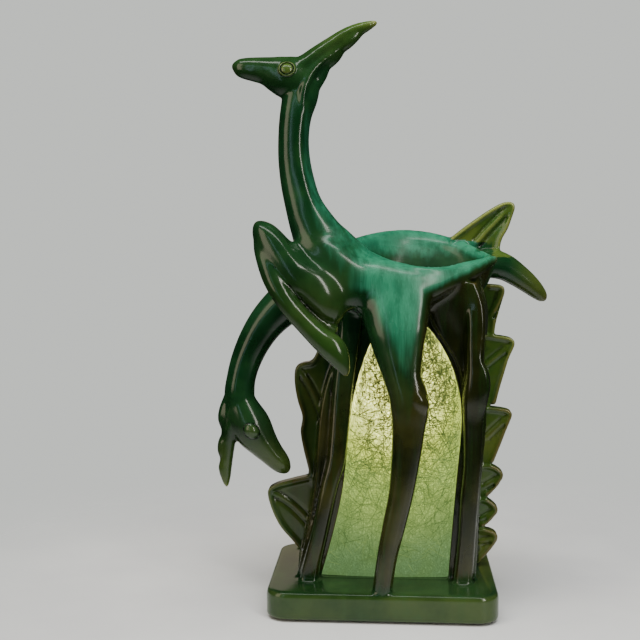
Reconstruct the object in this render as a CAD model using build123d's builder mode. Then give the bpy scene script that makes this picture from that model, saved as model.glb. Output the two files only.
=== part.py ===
"""A glazed-ceramic television lamp: two stylised gazelles and leaves round a lit fibreglass screen.

The frame is the lamp's own: millimetres, +Z up, X along the wide front, Y from the front (-57) to the back
(+57), and the origin under the middle of the plinth, on the surface that the felt pads stand on.

The pottery is one fired piece, luted together from separate castings. Each casting is a node here, and where
two castings join, the later one is cut to the earlier one, so they meet face to face. Inside the arch stand
the fibreglass screen, a turn-knob lamp holder on a threaded pipe, and a screw-in bulb.
"""

import os

from build123d import *

os.makedirs("parts", exist_ok=True)

# ---- plinth -------------------------------------------------------------------------------------------
FELT_THICK = 1.5
PLINTH_LONG, PLINTH_DEEP, PLINTH_TALL = 150.0, 114.0, 18.0
PLINTH_CORNER, PLINTH_EDGE, PLINTH_WALL = 14.0, 3.0, 6.0
FLOOR_Z = FELT_THICK + PLINTH_TALL  # the plinth's top face, which everything else stands on
BACK_Y = PLINTH_DEEP / 2
FELT_RADIUS = 8.0
FELT_AT = (58.0, 40.0)
CORD_HOLE_RADIUS, CORD_HOLE_Z = 4.0, 8.0

# ---- arch that holds the screen -----------------------------------------------------------------------
ARCH_FRONT_Y, ARCH_BACK_Y = -23.0, 42.0
# Each profile runs left foot, left waist, left shoulder, crown, right shoulder, right waist, right foot, in
# X and Z; a foot's height of 0 stands for the plinth's top.
INNER_FRONT = [(-42, 0), (-28, 84), (-15, 158), (12, 192), (38, 168), (48.5, 98), (43, 0)]
INNER_BACK = [(-52, 0), (-44, 84), (-31, 158), (12, 194), (53, 168), (60, 98), (56, 0)]
OUTER_FRONT = [(-55, 0), (-41, 84), (-30, 158), (12, 201), (53, 170), (63, 98), (57, 0)]
OUTER_BACK = [(-60, 0), (-52, 84), (-39, 158), (12, 202), (61, 172), (68, 98), (64, 0)]

# ---- planter: lens-shaped in plan, between the two animals' backs -----------------------------------
LENS_X, LENS_Y = 24.0, -7.0
LENS_HALF_LONG, LENS_REACH = 50.0, 36.0
# How the lens grows from its keel to its rim: height and share of its full size.
LENS_KEEL = [(194.0, 0.50), (206.0, 0.78), (222.0, 0.95), (240.0, 1.0), (262.0, 1.0)]
PLANTER_WALL, WELL_FLOOR_Z = 5.0, 203.0
RIM_Z, RIM_RISE_BACK, RIM_DROP_RIGHT = 238.5, 0.333, 0.11

# ---- limbs: each row is X, Y, Z of the centreline, then half width in the picture plane and half depth --
STANDING_NECK = [
    (6, -26, 208, 15, 10),
    (-10, -27, 214, 19, 14),
    (-24, -28, 225, 19.5, 14.5),
    (-36, -29, 238, 17.5, 13.5),
    (-46, -29, 253, 14.2, 12.5),
    (-52.5, -28, 267, 12.6, 11.5),
    (-56.3, -26, 282, 11.3, 10.5),
    (-58.3, -25, 297, 10.4, 10),
    (-58.5, -24, 311, 10, 9.6),
    (-57, -23, 324, 10.4, 9.6),
    (-54, -22, 336, 11, 9.5),
    (-53.5, -22, 345, 9, 8),
]
STANDING_HEAD = [
    (-45, -22, 344, 9, 8),
    (-54, -22, 346, 14, 10.5),
    (-64, -22, 348.3, 14.6, 11),
    (-73, -22, 351, 11.8, 9.5),
    (-81, -22, 353, 8.4, 7.8),
    (-89, -22, 354, 7.3, 6.6),
    (-95, -22, 355, 5, 4.6),
    (-98.4, -22, 355.3, 1.8, 1.8),
]
STANDING_HORN = [
    (-56, -22, 345, 11, 8.5),
    (-47, -22, 352.5, 10.5, 8),
    (-40, -22, 359, 9.4, 7),
    (-32.5, -22, 365, 8, 5.5),
    (-26, -22, 371, 6.2, 4.5),
    (-19, -22, 376, 5, 3.8),
    (-12.5, -22, 379.6, 3.5, 3),
    (-5, -22, 382.6, 1.5, 1.5),
]
FOLDED_UPPER_LEG = [
    (-20, -34, 198, 8, 8),
    (-35, -39, 207, 11.5, 9.5),
    (-47, -43, 217, 12.5, 10),
    (-58, -46, 228, 12.3, 10),
    (-68, -48, 239.5, 11, 9.3),
    (-74.5, -49, 249.5, 7.8, 7.5),
    (-77.6, -49, 255.5, 3, 3.4),
]
FOLDED_LOWER_LEG = [
    (-77.4, -49, 248, 4.5, 5.5),
    (-74.5, -50, 233, 7.6, 7),
    (-68, -51, 217.5, 8, 7),
    (-60.5, -52, 206, 7.4, 6.6),
    (-52, -52, 196, 7, 6.5),
    (-43.5, -52, 187.8, 7.4, 6.5),
    (-34, -52, 179.5, 8.6, 7),
    (-27.5, -52, 170, 6.6, 6),
    (-23.6, -52, 159.5, 2, 2.5),
]
STANDING_HIND_LEG = [
    (0.3, -50, 15, 6.5, 6.2),
    (3, -50, 42, 6.5, 6.2),
    (8, -49.5, 65, 7.4, 6.6),
    (11.7, -49, 88, 8.5, 7.5),
    (14.2, -48, 111, 10.2, 9),
    (15.6, -47, 130, 12.2, 10.5),
    (15, -46, 143, 13.6, 11),
    (11.2, -45, 157, 12.6, 11.5),
    (10, -43, 174, 16, 13),
    (8.6, -41, 187, 19.2, 14.5),
    (7.5, -37, 201, 22.5, 16),
    (8, -31, 213, 22, 15),
    (10, -23, 222, 16, 11),
]
GRAZING_FORELEG = [
    (-49.5, -28, 15, 6.3, 6),
    (-45, -28, 40, 6.5, 6),
    (-39.8, -27.5, 63, 6.4, 6),
    (-34.4, -27, 88, 6, 5.8),
    (-30.3, -26, 115, 5.7, 5.6),
    (-27.3, -25, 139, 5.8, 5.6),
    (-24.5, -24, 165, 6.2, 6),
    (-21.5, -23, 188, 7.5, 7),
    (-21, -24, 205, 8.5, 7.5),
    (-23, -26, 220, 7, 7),
]
GRAZING_HIND_LEG = [
    (53, -28, 15, 6.2, 6),
    (54, -28, 45, 5.6, 5.6),
    (55.6, -28, 71, 5.9, 5.8),
    (57.2, -28, 95, 6.4, 6),
    (58.5, -28, 118, 6.9, 6.3),
    (58.8, -28, 137, 8.2, 7),
    (57.6, -28, 149, 9.6, 8),
    (53.5, -27, 163, 9, 8),
    (51.5, -25, 178, 11.5, 9.5),
    (50.5, -21, 192, 16, 12),
    (52, -15, 206, 20, 15),
    (54, -9, 220, 18, 15),
]
GRAZING_TAIL = [
    (50, 2, 227, 8, 8),
    (61, 7, 227.5, 10, 9.5),
    (71.5, 12, 227, 10, 9.2),
    (81, 15, 224.5, 9.2, 8),
    (90, 17, 219.3, 8.2, 7),
    (98.5, 18.5, 213.3, 7, 6),
    (105, 19.5, 207.5, 5, 4.6),
    (109.5, 20, 203, 2, 2),
]
GRAZING_NECK = [
    (-14, 12, 222, 18, 13),
    (-29, 8, 219, 19, 14),
    (-43, 4, 213.8, 18, 14),
    (-56.5, 0, 207, 16.3, 13),
    (-69, -2, 198.3, 14, 12),
    (-79.3, -4, 187.5, 12.2, 11),
    (-87, -6, 175.3, 11.2, 10.2),
    (-92.6, -7, 162.5, 10.3, 9.5),
    (-95.8, -8, 150.5, 10, 9),
    (-97.3, -8, 139, 10.5, 9),
]
GRAZING_HEAD = [
    (-98.5, -8, 143, 8.5, 7.5),
    (-96.5, -8, 132, 12.6, 9.6),
    (-92, -8, 121, 14.4, 10.6),
    (-86.8, -8, 112.5, 13.4, 10.4),
    (-81, -8, 105.6, 11.2, 9.2),
    (-75.4, -8, 99.5, 9, 7.8),
    (-70.6, -8, 94.2, 7.2, 6.4),
    (-66.8, -8, 90, 5, 4.6),
    (-65, -8, 88, 2, 2),
]
GRAZING_HORN = [
    (-97, -8, 128, 9.5, 8),
    (-102.5, -8, 118, 8, 6.4),
    (-105.3, -8, 107, 6.2, 4.8),
    (-107, -8, 97, 4.8, 3.8),
    (-107.4, -8, 86, 3.6, 3),
    (-106.8, -8, 76.5, 1.4, 1.4),
]

EYE_WIDE, EYE_TALL, EYE_BAND = 5.2, 4.3, 1.7

# ---- leaves: outlines in X, Z, each an extruded plate with a raised midrib -----------------------------
LEAF_THICK, LEAF_FRONT_Y = 9.0, 4.0
CROWN_LEAF_THICK, CROWN_LEAF_FRONT_Y = 9.0, 15.0
LEFT_UPPER_LEAF = [
    (-36, 186), (-43, 172), (-48, 162), (-57, 160), (-60.5, 154), (-60.5, 145), (-58.5, 134), (-55.2, 123),
    (-56.6, 113), (-55, 102), (-51, 83), (-36, 90), (-28, 150),
]
LEFT_LOWER_LEAF = [
    (-50, 82), (-62, 79), (-75, 75), (-79.7, 70), (-76.5, 58.5), (-70.5, 46), (-58, 31), (-46, 27), (-38, 80),
]
RIGHT_LEAVES = [
    (74, 212), (84, 210), (80.5, 200), (77.5, 189), (75.5, 179.5),
    (85, 177.5), (88.3, 173), (84, 164), (80, 148), (75.8, 133),
    (86.5, 128), (86, 122.5), (81, 110), (74.5, 92.5),
    (81.8, 84), (80.4, 80), (71.5, 69.5),
    (78.5, 60), (77, 56.5), (68, 48.5),
    (78.5, 41), (77, 37), (64, 22), (54, 22), (58, 130), (54, 200),
]
CROWN_LEAF = [
    (46, 222), (45, 246), (60, 256.5), (71, 264), (80.5, 269), (87, 269.5), (88.5, 265.5), (84.5, 254),
    (79.5, 244), (78.5, 222),
]

# ---- screen -------------------------------------------------------------------------------------------
SCREEN_THICK, SCREEN_EDGE_Y, SCREEN_BOW = 0.8, -16.0, 4.0
SCREEN_MID_X, SCREEN_HALF_WIDE, SCREEN_TALL = 1.0, 51.0, 180.0
LUG_WIDE, LUG_DEEP, LUG_TALL = 12.0, 4.0, 9.0
LUGS = [(-36.0, 60.0), (-25.0, 135.0), (50.0, 60.0), (51.0, 135.0)]

# ---- lamp holder and bulb, on one upright axis ---------------------------------------------------------
LAMP_X, LAMP_Y = 12.0, 16.0
PIPE_RADIUS, PIPE_BORE, PIPE_HOLE = 5.0, 3.6, 5.4
PIPE_LOW_Z, PIPE_HIGH_Z = 3.5, 42.0
WASHER_RADIUS, WASHER_THICK = 11.0, 1.2
NUT_RADIUS, NUT_THICK = 9.0, 4.0
NECK_RADIUS, HUB_LOW_Z, HUB_TOP_Z = 8.0, 31.0, 40.0
SET_SCREW_RADIUS, SET_SCREW_Z = 1.2, 33.2
CAP_RADIUS, CAP_TOP_Z = 17.2, 55.0
SHELL_RADIUS, SHELL_LOW_Z, SHELL_TOP_Z = 16.4, 46.0, 97.0
SHEET = 0.8  # brass shell and paper liner are both about this thick
BLOCK_RADIUS, BLOCK_LOW_Z, BLOCK_TOP_Z = 13.8, 48.0, 71.0
TERMINAL_Z, TERMINAL_RADIUS = 57.0, 1.5
SCREW_BORE, SCREW_WALL, SCREW_TOP_Z = 13.4, 0.6, 95.0
CONTACT_Z = 74.0  # top of the centre contact, where the bulb's tip arrives
SWITCH_Z, SHAFT_RADIUS, SHAFT_FIT = 61.0, 2.0, 0.08
SHAFT_START, BUSHING_END, KNOB_LONG = 2.0, 22.0, 11.0  # measured out from the lamp's axis, toward the back
KNOB_RADIUS, KNOB_GROOVES = 5.5, 12
CAM_RADIUS, CAM_LONG, CAM_POCKET = 3.4, 4.0, 4.4
GROMMET_FLANGE, GROMMET_BORE = 5.3, 2.6
BULB_LOW_Z, BULB_RADIUS, BULB_CENTRE_Z = 74.3, 24.0, 139.3
GLASS_WALL, THREAD_PITCH, THREAD_TURNS, THREAD_LOW_Z = 0.8, 3.63, 5, 79.0


def limb(stations):
    """Adds one tapering limb to the part being built: a loft through ellipses square to its centreline."""
    spine = [Vector(x, y, z) for x, y, z, _, _ in stations]
    sections = []
    for index, (_, _, _, wide, deep) in enumerate(stations):
        before, after = spine[max(index - 1, 0)], spine[min(index + 1, len(spine) - 1)]
        along = after - before
        with BuildSketch(Plane(spine[index], x_dir=along.cross(Vector(0, 1, 0)), z_dir=along)) as section:
            Ellipse(wide, deep)
        sections.append(section.sketch)
    loft(sections)


def upright(y):
    """The plane that stands across the lamp at a given depth, drawn on in X and Z."""
    return Plane((0, y, 0), x_dir=(1, 0, 0), z_dir=(0, -1, 0))


def arch(front, back):
    """Adds a tunnel-shaped solid from the front profile to the back one, standing on the plinth."""
    sections = []
    for profile, y in ((front, ARCH_FRONT_Y), (back, ARCH_BACK_Y)):
        outline = [(x, FLOOR_Z if z == 0 else z) for x, z in profile]
        with BuildSketch(upright(y)) as section:
            with BuildLine():
                Spline(*outline)
                Line(outline[-1], outline[0])
            make_face()
        sections.append(section.sketch)
    loft(sections, ruled=True)


def boat(keel, inset=0.0, mode=Mode.ADD):
    """Adds the planter's form: plans of two arcs that meet in a point at each end, growing from the keel."""
    sections = []
    for height, share in keel:
        half = LENS_HALF_LONG * share - 1.8 * inset
        reach = LENS_REACH * share - inset
        with BuildSketch(Plane((LENS_X, LENS_Y, height))) as section:
            with BuildLine():
                ThreePointArc((-half, 0), (0, -reach), (half, 0))
                ThreePointArc((half, 0), (0, reach), (-half, 0))
            make_face()
        sections.append(section.sketch)
    loft(sections, ruled=True, mode=mode)


def plate(outline, front_y, thick):
    """Adds a leaf plate standing in the picture plane, its outline given in X and Z."""
    with BuildSketch(upright(front_y)) as section:
        with BuildLine():
            Polyline(*outline, close=True)
        make_face()
    extrude(section.sketch, amount=-thick)


def rib(start, end, front_y, radius=1.6):
    """Adds a leaf's midrib: a round bar half sunk in the plate's front."""
    begin, finish = Vector(start[0], front_y, start[1]), Vector(end[0], front_y, end[1])
    with BuildSketch(Plane(begin, z_dir=finish - begin)) as section:
        Circle(radius)
    extrude(section.sketch, amount=(finish - begin).length)


def eye(x, y, z, proud):
    """Adds the raised oval rings of an eye, one on each side of a head."""
    with BuildSketch(upright(y - proud)) as section:
        with Locations((x, z)):
            Ellipse(EYE_WIDE, EYE_TALL)
            Ellipse(EYE_WIDE - EYE_BAND, EYE_TALL - EYE_BAND, mode=Mode.SUBTRACT)
    extrude(section.sketch, amount=-2 * proud)


def disc(radius, low, high, bore=0.0, mode=Mode.ADD):
    """Adds an upright disc or tube on the lamp's axis."""
    with BuildSketch(Plane((LAMP_X, LAMP_Y, low))) as section:
        Circle(radius)
        if bore:
            Circle(bore, mode=Mode.SUBTRACT)
    extrude(section.sketch, amount=high - low, mode=mode)


def turned(profile):
    """Adds a solid of revolution on the lamp's axis, from an outline of radius and height."""
    with BuildSketch(upright(LAMP_Y)) as section:
        with BuildLine():
            Polyline(*[(LAMP_X + radius, height) for radius, height in profile], close=True)
        make_face()
    revolve(section.sketch, axis=LAMP_AXIS)


def stand():
    """Trims the part being built to the plinth's top face."""
    split(bisect_by=Plane.XY.offset(FLOOR_Z), keep=Keep.TOP)


def cut(*others):
    """Cuts the part being built to the castings it is luted to."""
    for other in others:
        add(other.part, mode=Mode.SUBTRACT)


def save(piece, name):
    """Writes one node."""
    piece.part.label = name
    export_step(piece.part, f"parts/{name}.step")


LAMP_AXIS = Axis((LAMP_X, LAMP_Y, 0), (0, 0, 1))

# ================================ the pottery ===========================================================

# Plinth: a slab with rounded corners, hollow below, with the pipe's hole and the cord's hole.
with BuildPart() as plinth:
    with BuildSketch(Plane.XY.offset(FELT_THICK)):
        RectangleRounded(PLINTH_LONG, PLINTH_DEEP, PLINTH_CORNER)
    extrude(amount=PLINTH_TALL)
    fillet(plinth.edges().group_by(Axis.Z)[-1], PLINTH_EDGE)
    fillet(plinth.edges().group_by(Axis.Z)[0], 1.5)
    with BuildSketch(Plane.XY.offset(FELT_THICK)):
        RectangleRounded(PLINTH_LONG - 2 * PLINTH_WALL, PLINTH_DEEP - 2 * PLINTH_WALL, PLINTH_CORNER - 5)
    extrude(amount=PLINTH_TALL - PLINTH_WALL, mode=Mode.SUBTRACT)
    # A boss in each corner carries a felt pad.
    with BuildSketch(Plane.XY.offset(FELT_THICK)):
        with GridLocations(2 * FELT_AT[0], 2 * FELT_AT[1], 2, 2):
            Circle(FELT_RADIUS + 1)
    extrude(amount=PLINTH_TALL - PLINTH_WALL)
    disc(PIPE_HOLE, FLOOR_Z - 2 * PLINTH_WALL, FLOOR_Z + 1, mode=Mode.SUBTRACT)
    with BuildSketch(Plane((LAMP_X, BACK_Y + 1, CORD_HOLE_Z), z_dir=(0, -1, 0))):
        Circle(CORD_HOLE_RADIUS)
    extrude(amount=PLINTH_WALL + 3, mode=Mode.SUBTRACT)
save(plinth, "plinth")

# Felt pads under the corners.
with BuildPart() as felt_pads:
    with BuildSketch():
        with GridLocations(2 * FELT_AT[0], 2 * FELT_AT[1], 2, 2):
            Circle(FELT_RADIUS)
    extrude(amount=FELT_THICK)
save(felt_pads, "felt_pads")

# Arch: a tunnel that widens to the back, open at both ends. The screen and the lamp stand in it.
with BuildPart() as arch_hollow:
    arch(INNER_FRONT, INNER_BACK)
with BuildPart() as arch_envelope:
    arch(OUTER_FRONT, OUTER_BACK)
with BuildPart() as screen_arch:
    add(arch_envelope.part)
    cut(arch_hollow)
save(screen_arch, "screen_arch")

# Planter: a boat-shaped bowl whose rim slopes up to the grazing animal's back.
rim = Plane((LENS_X, LENS_Y, RIM_Z), z_dir=(RIM_DROP_RIGHT, -RIM_RISE_BACK, 1))
with BuildPart() as planter_envelope:
    boat(LENS_KEEL)
    split(bisect_by=rim, keep=Keep.BOTTOM)
with BuildPart() as planter:
    add(planter_envelope.part)
    boat(LENS_KEEL[1:], inset=PLANTER_WALL, mode=Mode.SUBTRACT)
    cut(arch_envelope)
save(planter, "planter")

# Standing animal: the hind leg on the plinth's front edge, the neck, the head with its swept horn, and the
# folded foreleg. A raised ring on each side of the head is its eye.
with BuildPart() as standing_hind_leg:
    limb(STANDING_HIND_LEG)
    stand()
    cut(planter_envelope, arch_envelope)
save(standing_hind_leg, "standing_hind_leg")

with BuildPart() as standing_neck:
    limb(STANDING_NECK)
    cut(planter_envelope, arch_envelope, standing_hind_leg)
save(standing_neck, "standing_neck")

with BuildPart() as standing_head:
    limb(STANDING_HEAD)
    eye(-62.6, -22, 354, 11)
    cut(standing_neck)
save(standing_head, "standing_head")

with BuildPart() as standing_horn:
    limb(STANDING_HORN)
    cut(standing_head, standing_neck)
save(standing_horn, "standing_horn")

with BuildPart() as folded_foreleg:
    limb(FOLDED_UPPER_LEG)
    limb(FOLDED_LOWER_LEG)
    cut(planter_envelope, arch_envelope, standing_hind_leg, standing_neck)
save(folded_foreleg, "folded_foreleg")

# Grazing animal: two legs in relief on the arch, the tail, the drooping neck, and the head with its horn.
with BuildPart() as grazing_foreleg:
    limb(GRAZING_FORELEG)
    stand()
    cut(arch_envelope, standing_hind_leg, standing_neck, folded_foreleg)
save(grazing_foreleg, "grazing_foreleg")

with BuildPart() as grazing_hind_leg:
    limb(GRAZING_HIND_LEG)
    stand()
    cut(arch_envelope, planter_envelope)
save(grazing_hind_leg, "grazing_hind_leg")

with BuildPart() as grazing_tail:
    limb(GRAZING_TAIL)
    cut(planter_envelope, grazing_hind_leg)
save(grazing_tail, "grazing_tail")

with BuildPart() as grazing_neck:
    limb(GRAZING_NECK)
    cut(planter_envelope, arch_envelope, standing_neck, folded_foreleg, grazing_foreleg)
save(grazing_neck, "grazing_neck")

with BuildPart() as grazing_head:
    limb(GRAZING_HEAD)
    eye(-88.2, -8, 115.5, 10.6)
    cut(grazing_neck)
save(grazing_head, "grazing_head")

with BuildPart() as grazing_horn:
    limb(GRAZING_HORN)
    cut(grazing_head, grazing_neck)
save(grazing_horn, "grazing_horn")

# Leaves beside the arch, and one behind the planter.
with BuildPart() as left_leaves:
    plate(LEFT_UPPER_LEAF, LEAF_FRONT_Y, LEAF_THICK)
    plate(LEFT_LOWER_LEAF, LEAF_FRONT_Y, LEAF_THICK)
    rib((-57.5, 155), (-42, 128), LEAF_FRONT_Y)
    rib((-77.5, 69.5), (-50, 48), LEAF_FRONT_Y)
    cut(arch_envelope, grazing_neck, planter_envelope, grazing_foreleg)
save(left_leaves, "left_leaves")

with BuildPart() as right_leaves:
    plate(RIGHT_LEAVES, LEAF_FRONT_Y, LEAF_THICK)
    for tip_x, tip_z in ((85.5, 174), (83.5, 125), (79, 82), (75.5, 58.5), (75.5, 39)):
        rib((tip_x, tip_z), (tip_x - 11, tip_z - 10), LEAF_FRONT_Y)
    cut(arch_envelope, planter_envelope, grazing_hind_leg, grazing_tail)
save(right_leaves, "right_leaves")

with BuildPart() as crown_leaf:
    plate(CROWN_LEAF, CROWN_LEAF_FRONT_Y, CROWN_LEAF_THICK)
    rib((84.5, 266), (63, 244), CROWN_LEAF_FRONT_Y)
    cut(planter_envelope, grazing_tail)
save(crown_leaf, "crown_leaf")

# ================================ the screen ============================================================

# Screen: a thin bowed sheet of resin-bonded glass fibre that fills the arch's front.
with BuildPart() as fibreglass_screen:
    left_x, right_x = SCREEN_MID_X - SCREEN_HALF_WIDE, SCREEN_MID_X + SCREEN_HALF_WIDE
    back_y = SCREEN_EDGE_Y + SCREEN_THICK
    with BuildSketch(Plane.XY.offset(FLOOR_Z)):
        with BuildLine():
            ThreePointArc(
                (left_x, SCREEN_EDGE_Y),
                (SCREEN_MID_X, SCREEN_EDGE_Y - SCREEN_BOW),
                (right_x, SCREEN_EDGE_Y),
            )
            Line((right_x, SCREEN_EDGE_Y), (right_x, back_y))
            ThreePointArc((right_x, back_y), (SCREEN_MID_X, back_y - SCREEN_BOW), (left_x, back_y))
            Line((left_x, back_y), (left_x, SCREEN_EDGE_Y))
        make_face()
    extrude(amount=SCREEN_TALL)
    add(arch_hollow.part, mode=Mode.INTERSECT)
save(fibreglass_screen, "fibreglass_screen")

# Lugs: four dabs of clay on the arch's walls, behind the sheet's edge.
with BuildPart() as screen_lugs:
    for lug_x, lug_z in LUGS:
        with Locations((lug_x, SCREEN_EDGE_Y + SCREEN_THICK, lug_z)):
            Box(LUG_WIDE, LUG_DEEP, LUG_TALL, align=(Align.CENTER, Align.MIN, Align.CENTER))
    cut(screen_arch, fibreglass_screen)
save(screen_lugs, "screen_lugs")

# ================================ the lamp holder =======================================================

# Threaded pipe through the plinth, with its washer, two locknuts and the plastic bushing in its lower end.
with BuildPart() as threaded_pipe:
    disc(PIPE_RADIUS, PIPE_LOW_Z, PIPE_HIGH_Z, bore=PIPE_BORE)
    chamfer(threaded_pipe.edges().filter_by(GeomType.CIRCLE).group_by(SortBy.RADIUS)[-1], 0.4)
save(threaded_pipe, "threaded_pipe")

with BuildPart() as pipe_bushing:
    disc(PIPE_RADIUS, PIPE_LOW_Z - 1.2, PIPE_LOW_Z, bore=GROMMET_BORE)
    disc(PIPE_BORE, PIPE_LOW_Z, PIPE_LOW_Z + 6, bore=GROMMET_BORE)
save(pipe_bushing, "pipe_bushing")

NUT_TOP_Z = FLOOR_Z - PLINTH_WALL - WASHER_THICK
with BuildPart() as pipe_washer:
    disc(WASHER_RADIUS, NUT_TOP_Z, NUT_TOP_Z + WASHER_THICK, bore=PIPE_HOLE)
save(pipe_washer, "pipe_washer")

with BuildPart() as locknuts:
    for nut_z in (NUT_TOP_Z - NUT_THICK, FLOOR_Z):
        with BuildSketch(Plane((LAMP_X, LAMP_Y, nut_z))):
            RegularPolygon(NUT_RADIUS, 6)
            Circle(PIPE_RADIUS, mode=Mode.SUBTRACT)
        extrude(amount=NUT_THICK)
save(locknuts, "locknuts")

with BuildPart() as holder_neck:
    disc(NECK_RADIUS, FLOOR_Z + NUT_THICK, HUB_LOW_Z, bore=PIPE_RADIUS)
save(holder_neck, "holder_neck")

# Holder cap: a spun brass cup on a hub that is locked to the pipe by a set screw.
with BuildPart() as holder_cap:
    turned(
        [
            (PIPE_RADIUS, HUB_LOW_Z),
            (7.5, HUB_LOW_Z),
            (7.5, 35.2),
            (16.2, 41),
            (CAP_RADIUS, 44),
            (CAP_RADIUS, CAP_TOP_Z),
            (SHELL_RADIUS, CAP_TOP_Z),
            (SHELL_RADIUS, 44.4),
            (15.5, 41.9),
            (7.2, 36.4),
            (7.2, HUB_TOP_Z),
            (PIPE_RADIUS, HUB_TOP_Z),
        ]
    )
    with BuildSketch(Plane((LAMP_X, LAMP_Y, SET_SCREW_Z), z_dir=(0, 1, 0))):
        Circle(SET_SCREW_RADIUS)
    extrude(amount=9, mode=Mode.SUBTRACT)
save(holder_cap, "holder_cap")

with BuildPart() as set_screw:
    with BuildSketch(Plane((LAMP_X, LAMP_Y + PIPE_RADIUS, SET_SCREW_Z), z_dir=(0, 1, 0))):
        Circle(SET_SCREW_RADIUS)
    extrude(amount=3.4)
    with BuildSketch(Plane((LAMP_X, LAMP_Y + PIPE_RADIUS + 3.4, SET_SCREW_Z), z_dir=(0, 1, 0))):
        Circle(2.0)
        Rectangle(5, 0.6, mode=Mode.SUBTRACT)
    extrude(amount=1.4)
    cut(threaded_pipe)
save(set_screw, "set_screw")

# Holder shell with its paper liner. Both have a hole at the back for the switch.
with BuildPart() as holder_shell:
    disc(SHELL_RADIUS, SHELL_LOW_Z, SHELL_TOP_Z, bore=SHELL_RADIUS - SHEET)
    disc(SHELL_RADIUS + 0.7, SHELL_TOP_Z - 2.4, SHELL_TOP_Z, bore=SHELL_RADIUS - SHEET)
    with BuildSketch(Plane((LAMP_X, LAMP_Y, SWITCH_Z), z_dir=(0, 1, 0))):
        Circle(SHAFT_RADIUS + 1.4)
    extrude(amount=20, mode=Mode.SUBTRACT)
save(holder_shell, "holder_shell")

LINER_RADIUS = SHELL_RADIUS - SHEET
with BuildPart() as holder_liner:
    disc(LINER_RADIUS, SHELL_LOW_Z, SHELL_TOP_Z - 3, bore=LINER_RADIUS - SHEET)
    with BuildSketch(Plane((LAMP_X, LAMP_Y, SWITCH_Z), z_dir=(0, 1, 0))):
        Circle(SHAFT_RADIUS + 1.4)
    extrude(amount=20, mode=Mode.SUBTRACT)
save(holder_liner, "holder_liner")

# Holder block: moulded insulator with the switch's bore and pocket, and a screw terminal on each side.
with BuildPart() as holder_block:
    disc(BLOCK_RADIUS, BLOCK_LOW_Z, BLOCK_TOP_Z)
    disc(LINER_RADIUS - SHEET, BLOCK_LOW_Z, BLOCK_LOW_Z + 3)
    with BuildSketch(Plane((LAMP_X, LAMP_Y + SHAFT_START, SWITCH_Z), z_dir=(0, 1, 0))):
        Circle(SHAFT_RADIUS + SHAFT_FIT)
    extrude(amount=BLOCK_RADIUS, mode=Mode.SUBTRACT)
    with BuildSketch(Plane((LAMP_X, LAMP_Y - 3.4, SWITCH_Z), z_dir=(0, 1, 0))):
        Circle(CAM_POCKET)
    extrude(amount=SHAFT_START + 4, mode=Mode.SUBTRACT)
    for side in (-1, 1):
        with BuildSketch(Plane((LAMP_X + side * BLOCK_RADIUS, LAMP_Y, TERMINAL_Z), z_dir=(-side, 0, 0))):
            Circle(TERMINAL_RADIUS)
        extrude(amount=7, mode=Mode.SUBTRACT)
        with Locations((LAMP_X + side * BLOCK_RADIUS, LAMP_Y, TERMINAL_Z)):
            Box(2, 8, 8, mode=Mode.SUBTRACT)
save(holder_block, "holder_block")

with BuildPart() as terminal_screws:
    for side in (-1, 1):
        face_x = LAMP_X + side * (BLOCK_RADIUS - 1)
        with BuildSketch(Plane((face_x, LAMP_Y, TERMINAL_Z), z_dir=(-side, 0, 0))):
            Circle(TERMINAL_RADIUS)
        extrude(amount=6)
        with BuildSketch(Plane((face_x, LAMP_Y, TERMINAL_Z), z_dir=(side, 0, 0))):
            Circle(2 * TERMINAL_RADIUS)
            Rectangle(7, 0.8, mode=Mode.SUBTRACT)
        extrude(amount=1.2)
save(terminal_screws, "terminal_screws")

with BuildPart() as screw_shell:
    disc(SCREW_BORE + SCREW_WALL, BLOCK_TOP_Z, SCREW_TOP_Z, bore=SCREW_BORE)
save(screw_shell, "screw_shell")

# Centre contact: a brass strip bent up in the middle of the block's top.
with BuildPart() as centre_contact:
    with BuildSketch(upright(LAMP_Y - 3)):
        with BuildLine():
            Polyline(
                (LAMP_X - 9, BLOCK_TOP_Z),
                (LAMP_X - 4, BLOCK_TOP_Z),
                (LAMP_X - 1.5, CONTACT_Z - 0.6),
                (LAMP_X + 5, CONTACT_Z - 0.6),
                (LAMP_X + 5, CONTACT_Z),
                (LAMP_X - 2, CONTACT_Z),
                (LAMP_X - 4.6, BLOCK_TOP_Z + 0.6),
                (LAMP_X - 9, BLOCK_TOP_Z + 0.6),
                close=True,
            )
        make_face()
    extrude(amount=-6)
save(centre_contact, "centre_contact")

# Switch: a threaded bushing in the shell, and the shaft that turns in it, with its cam and its fluted knob.
with BuildPart() as switch_bushing:
    with BuildSketch(Plane((LAMP_X, LAMP_Y + LINER_RADIUS - SHEET, SWITCH_Z), z_dir=(0, 1, 0))):
        Circle(SHAFT_RADIUS + 1.4)
        Circle(SHAFT_RADIUS + SHAFT_FIT, mode=Mode.SUBTRACT)
    extrude(amount=BUSHING_END - LINER_RADIUS + SHEET)
    with BuildSketch(Plane((LAMP_X, LAMP_Y + SHELL_RADIUS + 0.2, SWITCH_Z), z_dir=(0, 1, 0))):
        RegularPolygon(5.0, 6)
        Circle(SHAFT_RADIUS + SHAFT_FIT, mode=Mode.SUBTRACT)
    extrude(amount=2)
save(switch_bushing, "switch_bushing")

with BuildPart() as switch_shaft:
    with BuildSketch(Plane((LAMP_X, LAMP_Y + SHAFT_START - 5, SWITCH_Z), z_dir=(0, 1, 0))):
        Circle(SHAFT_RADIUS)
    extrude(amount=BUSHING_END + KNOB_LONG - SHAFT_START + 3)
    with BuildSketch(Plane((LAMP_X, LAMP_Y - 2, SWITCH_Z), z_dir=(0, 1, 0))):
        Rectangle(2 * CAM_RADIUS, 3)
        Rectangle(3, 2 * CAM_RADIUS)
    extrude(amount=CAM_LONG)
save(switch_shaft, "switch_shaft")

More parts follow.
